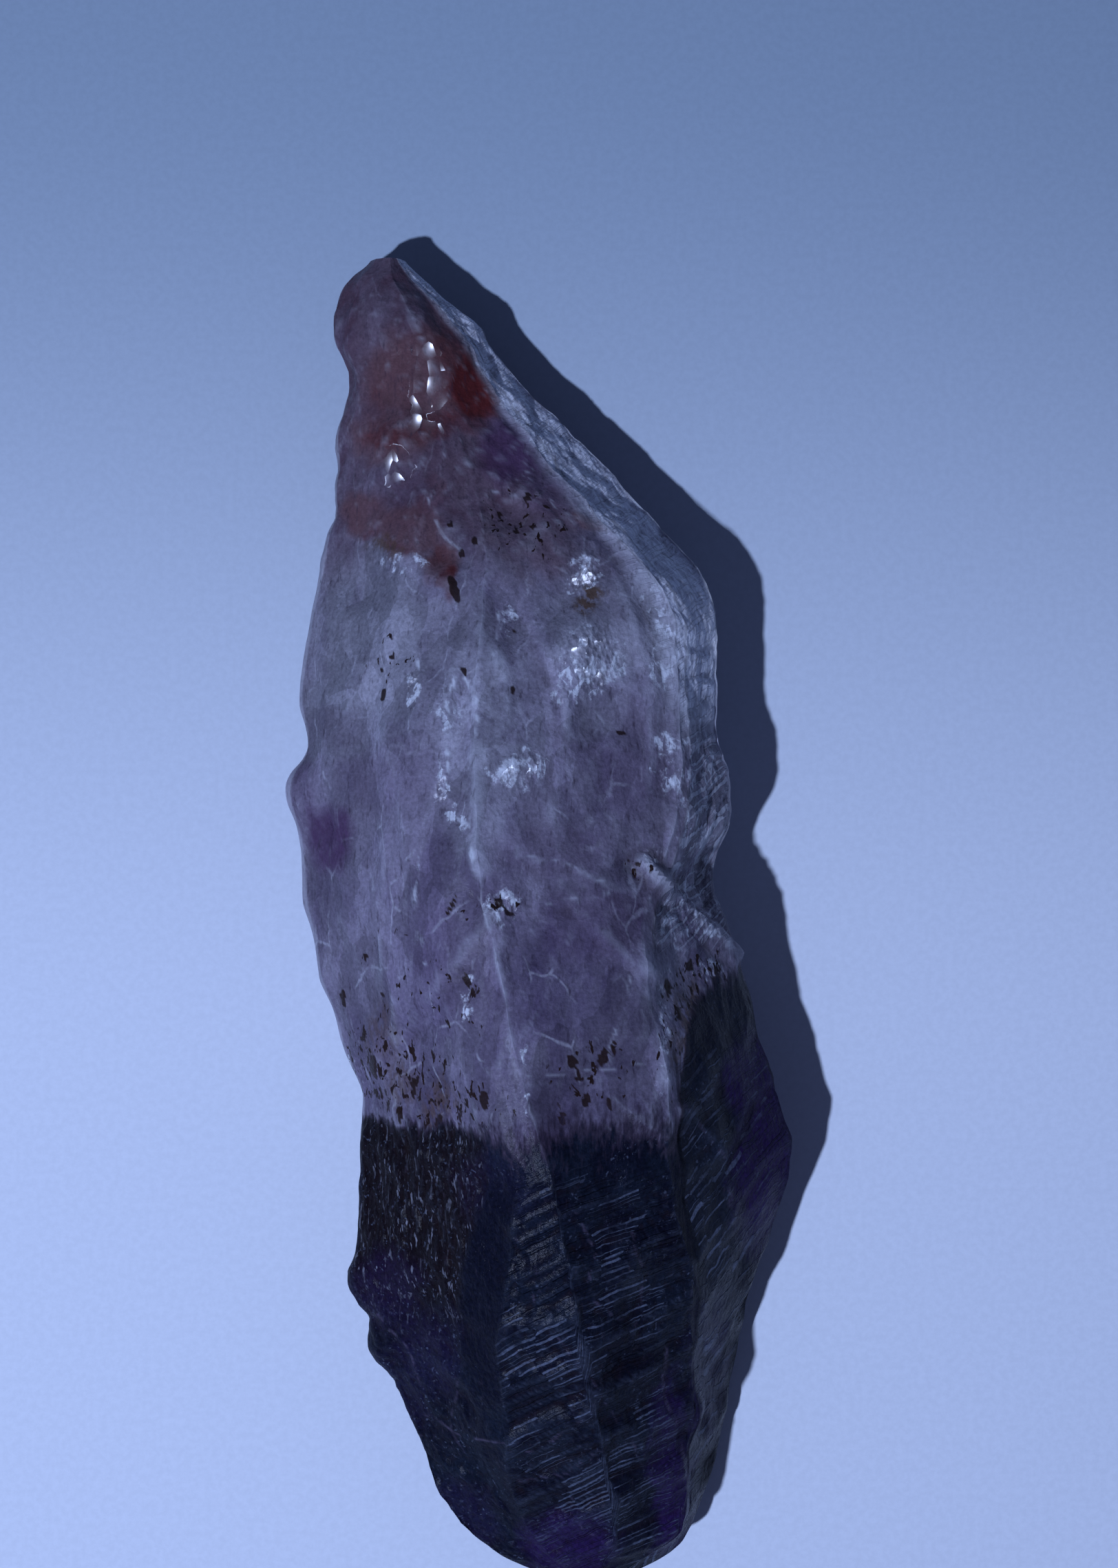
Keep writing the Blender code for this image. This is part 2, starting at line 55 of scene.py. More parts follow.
stoneShape = {
    "rootEnd": 58.3,
    "tipEnd": -57.3,
    "rightFlankShare": 0.72,              # height of the right flank, as a share of its edge's
    "flankInset": 0.4,                    # where the flanks bend, as a share of the way to the foot
    "kinkBlur": 0.7,                      # half the length over which a kink is rounded
    "sectionRuns": [                      # from y, to y, sections
        (58.3, 55.8, 13), (55.8, -17.0, 206), (-17.0, -55.0, 150), (-55.0, -57.3, 10),
    ],
    # outlines seen from above: (y, x, z)
    "leftEdge": [
        (58.3, -14.6, 6.8), (57.6, -15.8, 6.8), (56.6, -17.0, 7.0), (55.2, -17.8, 7.2),
        (53.0, -18.3, 7.6), (51.2, -18.3, 7.8), (49.6, -17.5, 8.0), (48.0, -16.8, 8.2),
        (45.0, -17.1, 8.6), (38.8, -17.2, 9.6), (35.6, -17.2, 10.2), (34.2, -18.0, 10.6),
        (30.3, -18.5, 11.2), (28.0, -19.3, 11.6), (23.6, -20.2, 12.4), (19.0, -20.8, 12.8),
        (14.8, -20.2, 13.2), (12.8, -21.5, 13.2), (11.2, -21.6, 13.2), (8.8, -20.7, 13.2),
        (2.0, -19.9, 13.4), (-3.3, -18.9, 13.6), (-9.9, -17.2, 14.2), (-14.4, -15.0, 14.8),
        (-18.3, -14.9, 15.4), (-26.6, -15.6, 15.4), (-29.8, -16.2, 15.2), (-32.0, -15.5, 14.8),
        (-33.5, -14.3, 14.4), (-35.0, -14.6, 14.2), (-37.0, -13.6, 13.9), (-38.4, -12.5, 13.6),
        (-42.4, -11.3, 13.0), (-45.4, -10.0, 12.6), (-49.4, -8.5, 12.0), (-51.8, -6.9, 11.4),
        (-53.8, -4.5, 11.0), (-55.6, -1.4, 10.7), (-57.3, 3.2, 10.5),
    ],
    "rightEdge": [
        (58.3, -12.2, 7.0), (57.4, -10.9, 6.8), (55.9, -9.4, 7.0), (53.0, -6.7, 7.2),
        (47.3, -1.4, 7.8), (39.9, 5.9, 8.4), (33.6, 11.7, 9.4), (31.6, 13.4, 10.4),
        (28.1, 14.9, 12.0), (24.0, 15.3, 12.8), (18.5, 15.3, 13.0), (12.8, 16.0, 13.0),
        (9.0, 16.6, 12.6), (7.2, 15.9, 11.4), (4.9, 14.9, 10.6), (2.0, 15.2, 10.4),
        (-1.0, 16.7, 10.8), (-4.8, 17.9, 11.2), (-8.7, 18.5, 11.6), (-12.0, 19.8, 11.6),
        (-15.0, 20.9, 11.5), (-19.0, 21.8, 11.0), (-21.7, 21.8, 10.6), (-25.0, 21.0, 9.4),
        (-31.0, 19.0, 6.6), (-38.5, 17.2, 3.6), (-43.5, 16.3, 2.8), (-48.0, 15.3, 3.2),
        (-52.0, 13.8, 4.4), (-54.9, 12.3, 7.0), (-57.3, 6.2, 10.3),
    ],
    # ridges of the upper side, from left to right: (y, x, z)
    "leftShoulder": [
        (58.3, -14.2, 7.9), (56.3, -16.0, 8.8), (53.0, -16.8, 9.6), (50.0, -16.6, 9.9),
        (47.0, -15.4, 10.4), (41.0, -15.2, 11.8), (35.0, -14.9, 13.4), (29.0, -16.0, 15.0),
        (23.0, -17.0, 16.4), (14.5, -17.2, 17.8), (6.0, -16.8, 18.6), (-3.0, -15.6, 19.2),
        (-8.5, -13.9, 19.8), (-14.5, -12.1, 20.4), (-20.0, -11.8, 20.6), (-26.0, -12.2, 19.8),
        (-32.0, -11.1, 19.0), (-38.0, -9.2, 17.4), (-44.0, -7.0, 15.6), (-50.5, -4.4, 13.4),
        (-54.5, -1.2, 12.0), (-57.3, 3.4, 10.8),
    ],
    "leftCrest": [
        (58.3, -13.7, 8.4), (56.0, -14.5, 9.8), (53.0, -14.0, 10.8), (49.0, -13.0, 11.4),
        (44.0, -11.8, 12.8), (38.0, -10.8, 15.4), (32.0, -10.4, 18.2), (26.0, -10.5, 20.6),
        (20.0, -10.4, 22.8), (11.5, -10.5, 25.2), (3.0, -9.2, 27.2), (-5.0, -6.9, 28.8),
        (-13.5, -3.9, 29.6), (-19.0, -1.7, 29.8), (-25.0, -2.3, 29.0), (-31.0, -3.0, 27.4),
        (-36.0, -3.6, 25.0), (-40.5, -2.9, 22.6), (-45.0, -2.7, 19.6), (-48.5, -2.1, 16.8),
        (-52.5, -0.4, 13.9), (-57.3, 4.0, 11.2),
    ],
    "crest": [
        (58.3, -13.2, 8.6), (56.0, -12.9, 10.2), (53.0, -11.4, 11.2), (49.0, -9.5, 12.0),
        (44.0, -7.6, 13.4), (38.0, -5.4, 16.2), (32.0, -4.4, 19.6), (26.0, -4.9, 22.4),
        (20.0, -5.4, 25.0), (11.5, -5.4, 27.6), (3.0, -4.8, 29.4), (-2.5, -3.1, 30.4),
        (-8.0, -2.1, 31.0), (-13.5, -0.9, 31.0), (-19.0, 0.9, 30.8), (-25.0, 2.1, 29.8),
        (-30.5, 3.0, 28.2), (-36.5, 3.8, 25.4), (-42.5, 5.2, 21.8), (-48.0, 6.3, 17.6),
        (-52.3, 6.6, 14.6), (-57.3, 4.6, 11.4),
    ],
    "rightShoulder": [
        (58.3, -12.7, 8.2), (56.5, -11.3, 8.8), (54.0, -9.2, 9.4), (51.5, -7.3, 10.0),
        (48.0, -5.1, 11.0), (44.0, -2.3, 12.2), (40.0, 1.2, 13.5), (35.5, 4.9, 15.2),
        (32.0, 8.1, 16.8), (29.0, 10.4, 18.0), (26.0, 11.4, 18.8), (20.0, 11.9, 19.6),
        (13.0, 12.2, 20.6), (9.0, 11.5, 21.6), (5.4, 10.1, 22.8), (1.5, 8.6, 24.4),
        (-2.5, 8.4, 25.8), (-7.0, 9.3, 26.6), (-11.5, 10.3, 27.0), (-16.0, 10.5, 27.0),
        (-21.5, 10.9, 26.0), (-27.0, 12.4, 23.4), (-31.0, 12.8, 21.2), (-37.0, 13.0, 17.2),
        (-43.5, 12.8, 13.8), (-48.5, 12.6, 11.4), (-53.0, 11.8, 10.8), (-57.3, 5.4, 11.0),
    ],
    "rightRidge": [
        (58.3, -12.4, 7.6), (54.5, -8.4, 8.2), (48.0, -4.0, 9.4), (40.0, 3.2, 11.2),
        (32.5, 10.2, 13.2), (29.5, 12.5, 14.6), (26.0, 13.6, 15.4), (17.0, 14.1, 15.8),
        (11.5, 14.4, 15.8), (7.5, 13.8, 15.6), (5.0, 12.8, 15.6), (3.0, 12.2, 15.8),
        (-0.5, 14.2, 15.8), (-4.0, 15.4, 16.4), (-8.5, 16.0, 17.2), (-12.0, 16.4, 18.0),
        (-15.5, 16.2, 18.6), (-20.0, 16.4, 18.6), (-24.5, 16.4, 17.4), (-27.5, 17.0, 15.2),
        (-30.5, 17.2, 12.8), (-34.0, 15.7, 12.0), (-37.5, 14.6, 11.0), (-44.5, 14.0, 8.8),
        (-51.0, 12.9, 8.4), (-54.0, 11.6, 9.2), (-57.3, 5.9, 10.7),
    ],
    # step down beside the right shoulder: (y, distance to the right, drop)
    "groove": [
        (58.3, 0.1, 0.2), (50.0, 0.7, 0.8), (32.0, 0.8, 1.0), (9.0, 0.8, 0.9),
        (5.0, 0.9, 1.0), (-2.5, 0.9, 1.2), (-7.0, 0.9, 1.4), (-21.5, 1.0, 1.6),
        (-28.0, 0.8, 1.2), (-37.0, 0.4, 0.8), (-50.0, 0.3, 0.4), (-57.3, 0.1, 0.1),
    ],
    # steep band below the left crest: (y, distance to the left, drop)
    "ledge": [
        (58.3, 0.1, 0.1), (53.0, 0.8, 0.5), (-12.0, 1.2, 0.8), (-17.0, 1.6, 1.2),
        (-21.0, 2.5, 2.0), (-28.0, 3.7, 3.1), (-34.0, 3.3, 2.8), (-40.0, 2.4, 2.0),
        (-48.0, 1.4, 1.2), (-57.3, 0.1, 0.1),
    ],
    # underside: (y, share of the width between edge and foot, foot's height, flank's height)
    "underside": [
        (58.3, 0.30, 5.0, 5.6), (55.0, 0.30, 3.6, 5.0), (48.0, 0.28, 2.6, 4.6),
        (38.0, 0.25, 1.2, 4.4), (30.0, 0.22, 0.0, 4.4), (0.0, 0.20, -0.6, 4.6),
        (-30.0, 0.22, -0.4, 4.8), (-40.0, 0.25, 0.4, 5.2), (-48.0, 0.28, 2.4, 6.0),
        (-54.0, 0.32, 5.2, 8.0), (-57.3, 0.30, 9.2, 9.9),
    ],
}

# corners round a section, each with the faces up to the next one
cornerFaces = {
    "leftFlank": 10, "leftEdge": 32, "leftShoulder": 36, "leftLedge": 10, "leftCrest": 24,
    "crest": 44, "rightShoulder": 5, "groove": 24, "rightRidge": 22, "rightEdge": 12,
    "rightFlank": 8, "rightFoot": 10, "leftFoot": 7,
}
cornerNames = list(cornerFaces)


def along(points, y, column):
    ys = [p[0] for p in reversed(points)]
    values = [p[column] for p in reversed(points)]
    blur = stoneShape["kinkBlur"]
    return np.mean([np.interp(y + step, ys, values) for step in np.linspace(-blur, blur, 5)], axis=0)


def ridge(name, y):
    return along(stoneShape[name], y, 1), along(stoneShape[name], y, 2)


def sectionCorners(y):
    leftX, leftZ = ridge("leftEdge", y)
    rightX, rightZ = ridge("rightEdge", y)
    inset = along(stoneShape["underside"], y, 1) * (rightX - leftX)
    bend = stoneShape["flankInset"] * inset
    footZ, flankZ = along(stoneShape["underside"], y, 2), along(stoneShape["underside"], y, 3)
    rightFlankZ = np.minimum(flankZ, footZ + stoneShape["rightFlankShare"] * (rightZ - footZ))
    crestX, crestZ = ridge("leftCrest", y)
    ledgeAcross, ledgeDrop = ridge("ledge", y)
    shoulderX, shoulderZ = ridge("rightShoulder", y)
    grooveAcross, grooveDrop = ridge("groove", y)
    corners = {
        "leftFlank": (leftX + bend, flankZ),
        "leftEdge": (leftX, leftZ),
        "leftShoulder": ridge("leftShoulder", y),
        "leftLedge": (crestX - ledgeAcross, crestZ - ledgeDrop),
        "leftCrest": (crestX, crestZ),
        "crest": ridge("crest", y),
        "rightShoulder": (shoulderX, shoulderZ),
        "groove": (shoulderX + grooveAcross, shoulderZ - grooveDrop),
        "rightRidge": ridge("rightRidge", y),
        "rightEdge": (rightX, rightZ),
        "rightFlank": (rightX - bend, rightFlankZ),
        "rightFoot": (rightX - inset, footZ),
        "leftFoot": (leftX + inset, footZ),
    }
    return [np.stack([x, y, z], axis=-1) for x, z in corners.values()]


def loftPoints():
    runs = stoneShape["sectionRuns"]
    y = np.concatenate([np.linspace(start, end, count, endpoint=False) for start, end, count in runs])
    y = np.append(y, stoneShape["tipEnd"])
    corners = sectionCorners(y)
    columns, places = [], []
    for i, faces in enumerate(cornerFaces.values()):
        start, end = corners[i], corners[(i + 1) % len(corners)]
        for step in range(faces):
            columns.append(start + (end - start) * step / faces)
            places.append(i + step / faces)
    return np.stack(columns, axis=1), np.array(places)


def gridNormals(points):
    lengthwise = np.gradient(points, axis=0)
    around = np.roll(points, -1, axis=1) - np.roll(points, 1, axis=1)
    normals = np.cross(lengthwise, around)
    return normals / np.maximum(np.linalg.norm(normals, axis=-1, keepdims=True), 1e-9)


# Noise and masks on the grid of points

def ramp(values, low, high):
    share = np.clip((values - low) / (high - low), 0.0, 1.0)
    return share * share * (3.0 - 2.0 * share)


def waviness(points, scale, seed):
    # scale is one length, or three for lumps that are longer one way
    offset = np.array([7.3, 3.1, 5.7]) * seed
    flat = (points / np.array(scale)).reshape(-1, 3) + offset
    return np.array([noise.noise(p) for p in flat]).reshape(points.shape[:-1])


def scallops(points, width, length, seed):
    places = points.reshape(-1, 3) / (width, length, width) + seed * 1.7
    nearest = np.array([noise.voronoi(place)[0][0] for place in places])
    return (nearest * nearest).reshape(points.shape[:-1])


def growthSteps(points, steps, seed, bend=0.5, waves=2.2):
    # a slow rise and a quick drop in each pitch; bend is how far they stray from straight
    across, pitch, depth = steps
    rise = stoneRelief["stepRise"]
    way = points @ (np.array(across) / np.linalg.norm(across))
    way = way / pitch + bend * waviness(points, waves * pitch, seed)
    share = way - np.floor(way)
    return depth * (np.minimum(share / rise, (1.0 - share) / (1.0 - rise)) - 0.5)


def besideLine(points, line):
    # distance to a line seen from above, and the signed distance to its left
    nearest = np.full(points.shape[:-1], 1e3)
    leftward = np.zeros(points.shape[:-1])
    for start, end in zip(np.array(line[:-1]), np.array(line[1:])):
        way = end - start
        offset = points[..., :2] - start
        share = np.clip(offset @ way / (way @ way), 0.0, 1.0)
        gap = np.linalg.norm(offset - share[..., None] * way, axis=-1)
        turn = (way[0] * offset[..., 1] - way[1] * offset[..., 0]) / np.linalg.norm(way)
        leftward = np.where(gap < nearest, turn, leftward)
        nearest = np.minimum(nearest, gap)
    return nearest, leftward


def lineStray(points):
    amount, length = stoneRelief["stray"]
    return amount * waviness(points, length, 23)


def betweenCorners(places, first, last, soft=0.08):
    low, high = cornerNames.index(first), cornerNames.index(last)
    return ramp(places, low - soft, low + soft) * ramp(-places, -high - soft, -high + soft)


def patches(points, blobs, wobble=1.1):
    # soft ellipses seen from above: (x, y, radius across, radius along, strength)
    x = points[..., 0] + wobble * (waviness(points, 3.0, 21) + 0.5 * waviness(points, 1.1, 24))
    y = points[..., 1] + wobble * (waviness(points, 3.0, 22) + 0.5 * waviness(points, 1.1, 25))
    total = np.zeros(points.shape[:-1])
    for cx, cy, rx, ry, strength in blobs:
        distance = np.sqrt(((x - cx) / rx) ** 2 + ((y - cy) / ry) ** 2)
        total = np.maximum(total, strength * ramp(-distance, -1.35, -0.55))
    return total


# Relief of the stone

stoneRelief = {
    "swell": (12.0, 0.30),                # length of the waves, height
    "ripple": (4.5, 0.16),
    "leftTipLumps": (2.6, 0.40),
    "flakes": (7.0, 13.0, 0.95, 0.40, 0.22),  # width, length, depth, depth on the tip, mean
    # growth steps: the way they climb, pitch, depth
    "steepSteps": ((-0.50, 0.86, 0.1), 4.6, 0.50),
    "gentleSteps": ((-0.26, 0.96, 0.1), 5.6, 0.60),
    "flankSteps": ((0.84, -0.54, 0.2), 3.8, 0.45),
    "leftStriae": ((-0.50, 0.86, 0.1), 1.25, 0.17),
    "rightStriae": ((-0.24, 0.97, 0.1), 1.45, 0.17),
    "flankStriae": ((0.84, -0.54, 0.2), 1.20, 0.15),
    "bandFlakes": ((0.72, 0.62, 0.5), 1.6, 0.24),
    "curvedBreaks": ((0.86, -0.50, 0.2), 1.1, 0.24),
    "stepRise": 0.72,                     # share of a pitch that climbs
    # lumps and pits: (x, y, z, radius, height)
    "lumps": [
        (-21.0, 12.0, 12.0, 2.4, 0.9), (-20.6, 10.0, 15.0, 2.0, 0.5), (-15.9, -30.0, 13.0, 2.2, 0.9),
        (-13.6, -36.0, 14.0, 2.0, 0.7), (-12.0, 52.0, 12.0, 3.2, 0.7), (-13.0, 40.0, 14.0, 3.0, 0.5),
        (-2.0, 36.0, 17.6, 2.0, -0.7), (-9.0, 31.5, 19.6, 1.8, -0.7), (2.6, 28.8, 20.6, 2.0, -0.8),
        (-5.3, 3.0, 29.5, 1.8, -1.0), (-2.8, 14.0, 26.6, 2.2, 0.5), (3.6, 22.6, 22.6, 3.0, 0.5),
        (8.6, 6.0, 25.0, 1.8, -0.8), (15.6, 4.2, 13.0, 2.6, -1.2), (14.5, 8.5, 19.0, 2.6, 0.7),
        (12.4, -4.0, 21.0, 2.6, -0.6), (14.8, -17.0, 22.0, 2.8, 0.5), (3.4, -22.0, 31.0, 2.0, -0.5),
        (-9.0, -24.0, 25.0, 2.6, -0.6), (-6.4, -33.0, 24.5, 2.6, -0.5), (15.0, -42.0, 14.0, 2.4, 0.6),
        (-10.0, 4.0, 3.0, 4.0, -0.8), (12.0, 22.0, 5.0, 3.0, 0.6), (-13.0, -20.0, 5.0, 3.0, -0.7),
        (10.0, -34.0, 4.0, 3.0, 0.6), (2.0, 45.0, 5.0, 3.0, -0.6),
        (-9.8, 48.4, 12.4, 3.2, 0.9), (-12.4, 42.2, 13.2, 2.8, 0.8),
    ],
    # edges where flakes broke off: (height, reach, paleness, places seen from above).
    # The stone stands proud on the left of each line, seen along it.
    "flakeEdges": [
        (0.45, 4.0, 0.4, [(-5.6, 11.5), (-5.5, 4.5), (-3.6, -1.0), (-2.6, -5.0)]),
        (-0.45, 4.5, 0.30, [(-2.5, -2.0), (-2.4, -11.5), (-1.0, -17.0)]),
        (-0.40, 4.0, 0.3, [(-7.0, 27.5), (-6.6, 20.0), (-7.4, 12.0)]),
        (0.35, 4.0, 0.3, [(-13.2, 20.0), (-13.4, 10.0), (-12.4, 1.0)]),
        (-0.45, 3.5, 0.18, [(-3.4, 1.2), (-8.6, -5.2), (-12.0, -10.4)]),
        (0.40, 3.5, 0.12, [(2.2, 2.6), (6.7, -2.6), (8.6, -3.4)]),
        (-0.40, 4.0, 0.3, [(5.5, 32.5), (8.6, 27.0), (10.2, 20.0), (9.8, 12.0)]),
        (0.35, 3.5, 0.2, [(-0.6, 25.0), (1.6, 19.0), (1.0, 13.0)]),
        (-0.40, 4.0, 0.35, [(0.4, -31.0), (2.0, -30.8), (7.5, -32.4)]),
        (0.50, 4.0, 0.45, [(1.6, -33.4), (4.8, -38.0), (6.8, -42.0), (9.8, -47.6)]),
        (0.16, 1.2, 1.0, [(-10.0, 21.9), (-9.8, 20.0), (-10.5, 18.3)]),
        (-0.18, 1.6, 1.0, [(-6.9, 20.5), (-7.6, 18.3), (-7.4, 16.4), (-7.6, 14.2)]),
        (0.16, 1.5, 0.9, [(-6.0, 20.5), (-5.1, 18.7), (-4.9, 15.1)]),
        (0.14, 1.5, 0.8, [(-3.2, 26.0), (-3.6, 24.4), (-3.8, 22.3)]),
        (-0.16, 1.5, 0.9, [(-8.0, 11.4), (-7.6, 12.2), (-7.3, 13.4)]),
        (-0.15, 2.0, 0.9, [(-7.3, 9.0), (-5.5, 8.3), (-5.3, 4.7)]),
        (0.14, 2.0, 0.6, [(0.8, 2.0), (4.8, 2.6), (8.5, 3.7)]),
        (0.14, 1.6, 0.5, [(-1.4, 6.0), (2.0, 5.4), (5.6, 3.6)]),
        (-0.13, 2.0, 0.4, [(-1.0, -11.8), (4.8, -11.4), (10.6, -11.1)]),
        (0.16, 2.0, 0.30, [(6.1, -13.7), (9.3, -16.5)]),
        (0.14, 1.8, 0.5, [(7.4, -4.0), (6.2, -8.6), (5.4, -10.4)]),
        (-0.14, 1.6, 0.6, [(-9.8, 6.0), (-10.2, 1.6), (-9.4, -3.0)]),
        (0.14, 1.8, 0.4, [(-14.2, 4.8), (-13.0, 0.6), (-13.6, -4.0)]),
        (-0.16, 1.8, 0.5, [(-4.0, 36.4), (-0.6, 38.6), (1.6, 35.0)]),
        (0.16, 1.6, 0.5, [(-9.6, 36.0), (-8.4, 33.0), (-6.4, 31.4)]),
        (0.20, 2.0, 0.6, [(-1.3, -44.2), (1.2, -43.0), (3.6, -40.7)]),
        (0.20, 2.0, 0.5, [(-1.8, -47.0), (2.0, -46.2), (4.9, -43.7)]),
        (-0.22, 2.2, 0.7, [(10.7, -35.5), (10.5, -39.9), (11.7, -42.3), (12.7, -48.5)]),
        (0.18, 1.8, 0.5, [(-2.6, -24.0), (0.0, -27.6), (-0.6, -31.0)]),
        (0.20, 1.8, 0.6, [(3.0, -23.0), (4.6, -26.4), (3.8, -30.0), (6.2, -32.0)]),
        (-0.18, 1.6, 0.5, [(7.6, -25.0), (8.8, -29.0), (8.0, -33.0)]),
        (0.20, 1.6, 0.6, [(-9.8, -42.0), (-6.4, -43.4), (-3.0, -43.2)]),
        (-0.20, 1.6, 0.4, [(-6.8, -38.0), (-7.4, -43.0), (-5.4, -48.0)]),
        (0.18, 1.8, 0.6, [(-14.0, -33.0), (-11.0, -36.0), (-9.8, -40.0)]),
        (0.20, 1.6, 0.6, [(2.8, -48.6), (3.8, -51.8), (6.8, -54.0)]),
    ],
    # raised seams: (half width, height, places seen from above)
    "seams": [
        (1.1, 0.9, [(8.8, 5.6), (11.6, 2.6), (13.4, 0.4), (17.0, -2.5)]),
        (0.9, 0.4, [(12.0, -14.5), (15.5, -19.5), (16.2, -24.5)]),
    ],
    "warp": (0.32, 3.2),                  # sideways shift of every ridge and the size of its waves
    "stray": (0.30, 2.6),                 # how far the flake lines wander, length of the waves
    "grain": 0.026,                       # finest unevenness over the whole stone
    "sharpFrom": 24,                      # edges at least this sharp stay crisp, in degrees
}


def zonesOf(points, places):
    # shares of the stone's zones at every point, 0 to 1
    y = points[..., 1]
    tip = ramp(-y, 18.0, 22.0)
    fractureLength = ramp(y, -3.0, 1.0) * ramp(-y, -20.0, -14.0)
    zones = {
        "tip": tip,
        "frontLeft": betweenCorners(places, "leftCrest", "crest") * tip,
        "frontRight": betweenCorners(places, "crest", "rightShoulder") * tip,
        "leftTip": betweenCorners(places, "leftEdge", "leftLedge", 0.12) * ramp(-y, 13.5, 17.5),
        "steep": betweenCorners(places, "leftLedge", "leftCrest", 0.15) * tip,
        "flank": betweenCorners(places, "groove", "rightEdge", 0.1) * ramp(-y, 6.0, 15.0),
        "lowerFlank": betweenCorners(places, "rightRidge", "rightEdge", 0.1) * ramp(-y, 9.0, 13.0),
        "band": betweenCorners(places, "rightShoulder", "rightEdge", 0.25) * ramp(y, 14.0, 22.0),
        "fracture": betweenCorners(places, "groove", "rightEdge", 0.25) * fractureLength,
        "root": ramp(y, 27.0, 35.0),
    }
    zones["middle"] = (1.0 - tip) * (1.0 - zones["root"]) * (1.0 - zones["flank"])
    return zones


def coarseRelief(points, normals, zones):
    # the forms that the solid in the frame has too
    up = ramp(normals[..., 2], 0.1, 0.45)
    tip = zones["tip"]
    swellLength, swellHeight = stoneRelief["swell"]
    rippleLength, rippleHeight = stoneRelief["ripple"]
    lumpLength, lumpHeight = stoneRelief["leftTipLumps"]
    width, length, depth, tipDepth, mean = stoneRelief["flakes"]
    moved = swellHeight * waviness(points, swellLength, 1)
    moved += rippleHeight * waviness(points, rippleLength, 2)
    moved += (depth + (tipDepth - depth) * tip) * (scallops(points, width, length, 1) - mean)
    moved += up * zones["frontLeft"] * growthSteps(points, stoneRelief["steepSteps"], 3)
    moved += up * zones["frontRight"] * growthSteps(points, stoneRelief["gentleSteps"], 4)
    moved += up * zones["leftTip"] * lumpHeight * waviness(points, lumpLength, 6)
    moved += zones["flank"] * growthSteps(points, stoneRelief["flankSteps"], 5)
    for x, y, z, radius, height in stoneRelief["lumps"]:
        distance = np.linalg.norm(points - (x, y, z), axis=-1) / radius
        moved += height * np.exp(-distance * distance)
    stray = lineStray(points)
    for height, reach, _, line in stoneRelief["flakeEdges"]:
        distance, leftward = besideLine(points, line)
        spread = 0.12 + 1.5 * abs(height)
        moved += up * height * ramp(leftward + stray, -spread, spread) * np.exp(-distance / reach)
    for halfWidth, height, line in stoneRelief["seams"]:
        distance = (besideLine(points, line)[0] + 2.0 * stray) / halfWidth
        moved += up * height * np.clip(1.0 - distance, 0.0, 1.0)
    return moved


def fineRelief(points, zones):
    # striae, flecks, chips and grain, too fine for the solid in the frame
    cover = ramp(waviness(points, 4.0, 31), -0.15, 0.25)
    otherCover = 1.0 - cover
    rough = waviness(points, 0.62, 32)
    moved = stoneRelief["grain"] * (1.0 - 0.3 * zones["middle"]) * rough
    runs = (("frontLeft", "leftStriae", 0.3, 33), ("frontRight", "rightStriae", 0.25, 34),
            ("flank", "flankStriae", 0.4, 35))
    for name, steps, least, seed in runs:
        striae = growthSteps(points, stoneRelief[steps], seed, 0.5, 7.0)
        moved += zones[name] * (least + (1.0 - least) * cover) * striae
    moved += 0.13 * (zones["frontLeft"] + zones["frontRight"]) * otherCover * rough

    # etched flecks that run along the stone, then coarse grain nearer the tip
    fleck = waviness(points, (0.36, 1.3, 0.5), 36)
    high = ramp(points[..., 1], -31.0, -25.0)
    moved += zones["leftTip"] * high * 0.22 * np.maximum(fleck, -0.4)
    moved += zones["leftTip"] * (1.0 - high) * (0.12 * rough + 0.16 * waviness(points, 1.3, 37))

    # flakes of the pale band, and the curved break below it
    flakes = growthSteps(points, stoneRelief["bandFlakes"], 38, 0.8, 5.0)
    breaks = growthSteps(points, stoneRelief["curvedBreaks"], 39, 1.0, 7.0)
    moved += zones["band"] * (flakes + 0.09 * rough)
    moved += zones["fracture"] * (breaks + 0.06 * rough)

    # small chips in the middle, and rounded dents at the root
    chips = 0.24 * (scallops(points, 2.2, 3.8, 3) - 0.22)
    moved += zones["middle"] * (0.4 + 0.6 * otherCover) * chips
    dents = 0.17 * waviness(points, (1.4, 2.2, 1.4), 40) + 0.08 * waviness(points, 0.8, 41)
    glassy = zones["root"] * patches(points, stonePatches["gloss"])
    moved += 0.22 * glassy * waviness(points, (1.2, 1.5, 1.2), 42)
    return moved + zones["root"] * (dents + 0.20 * (scallops(points, 2.6, 3.6, 5) - 0.22))


def fadeAtEnds(points):
    y = points[..., 1]
    tipEnd, rootEnd = stoneShape["tipEnd"], stoneShape["rootEnd"]
    ends = ramp(y, tipEnd, tipEnd + 4.0) * ramp(-y, -rootEnd, -54.0)
    return (0.2 + 0.8 * ends) * (0.15 + 0.85 * ramp(points[..., 2], 0.5, 4.0))


def fittedToFrame(points):
    # same size and place as the solid in the frame
    low, high = points.reshape(-1, 3).min(0), points.reshape(-1, 3).max(0)
    boxLow, boxHigh = np.array(stoneLow) / mm, np.array(stoneHigh) / mm
    return boxLow + (points - low) * (boxHigh - boxLow) / (high - low)


def unevenness(points, normals, reach):
    # how far a point stands above the mean of its neighbours, in millimetres
    padded = np.pad(points, ((reach, reach), (0, 0), (0, 0)), mode="edge")
    lengthwise = padded[2 * reach:] + padded[:-2 * reach]
    around = np.roll(points, reach, axis=1) + np.roll(points, -reach, axis=1)
    return ((points - (lengthwise + around) / 4.0) * normals).sum(-1)


# Colour zones, in millimetres in the frame: (x, y, radius across, radius along, strength)

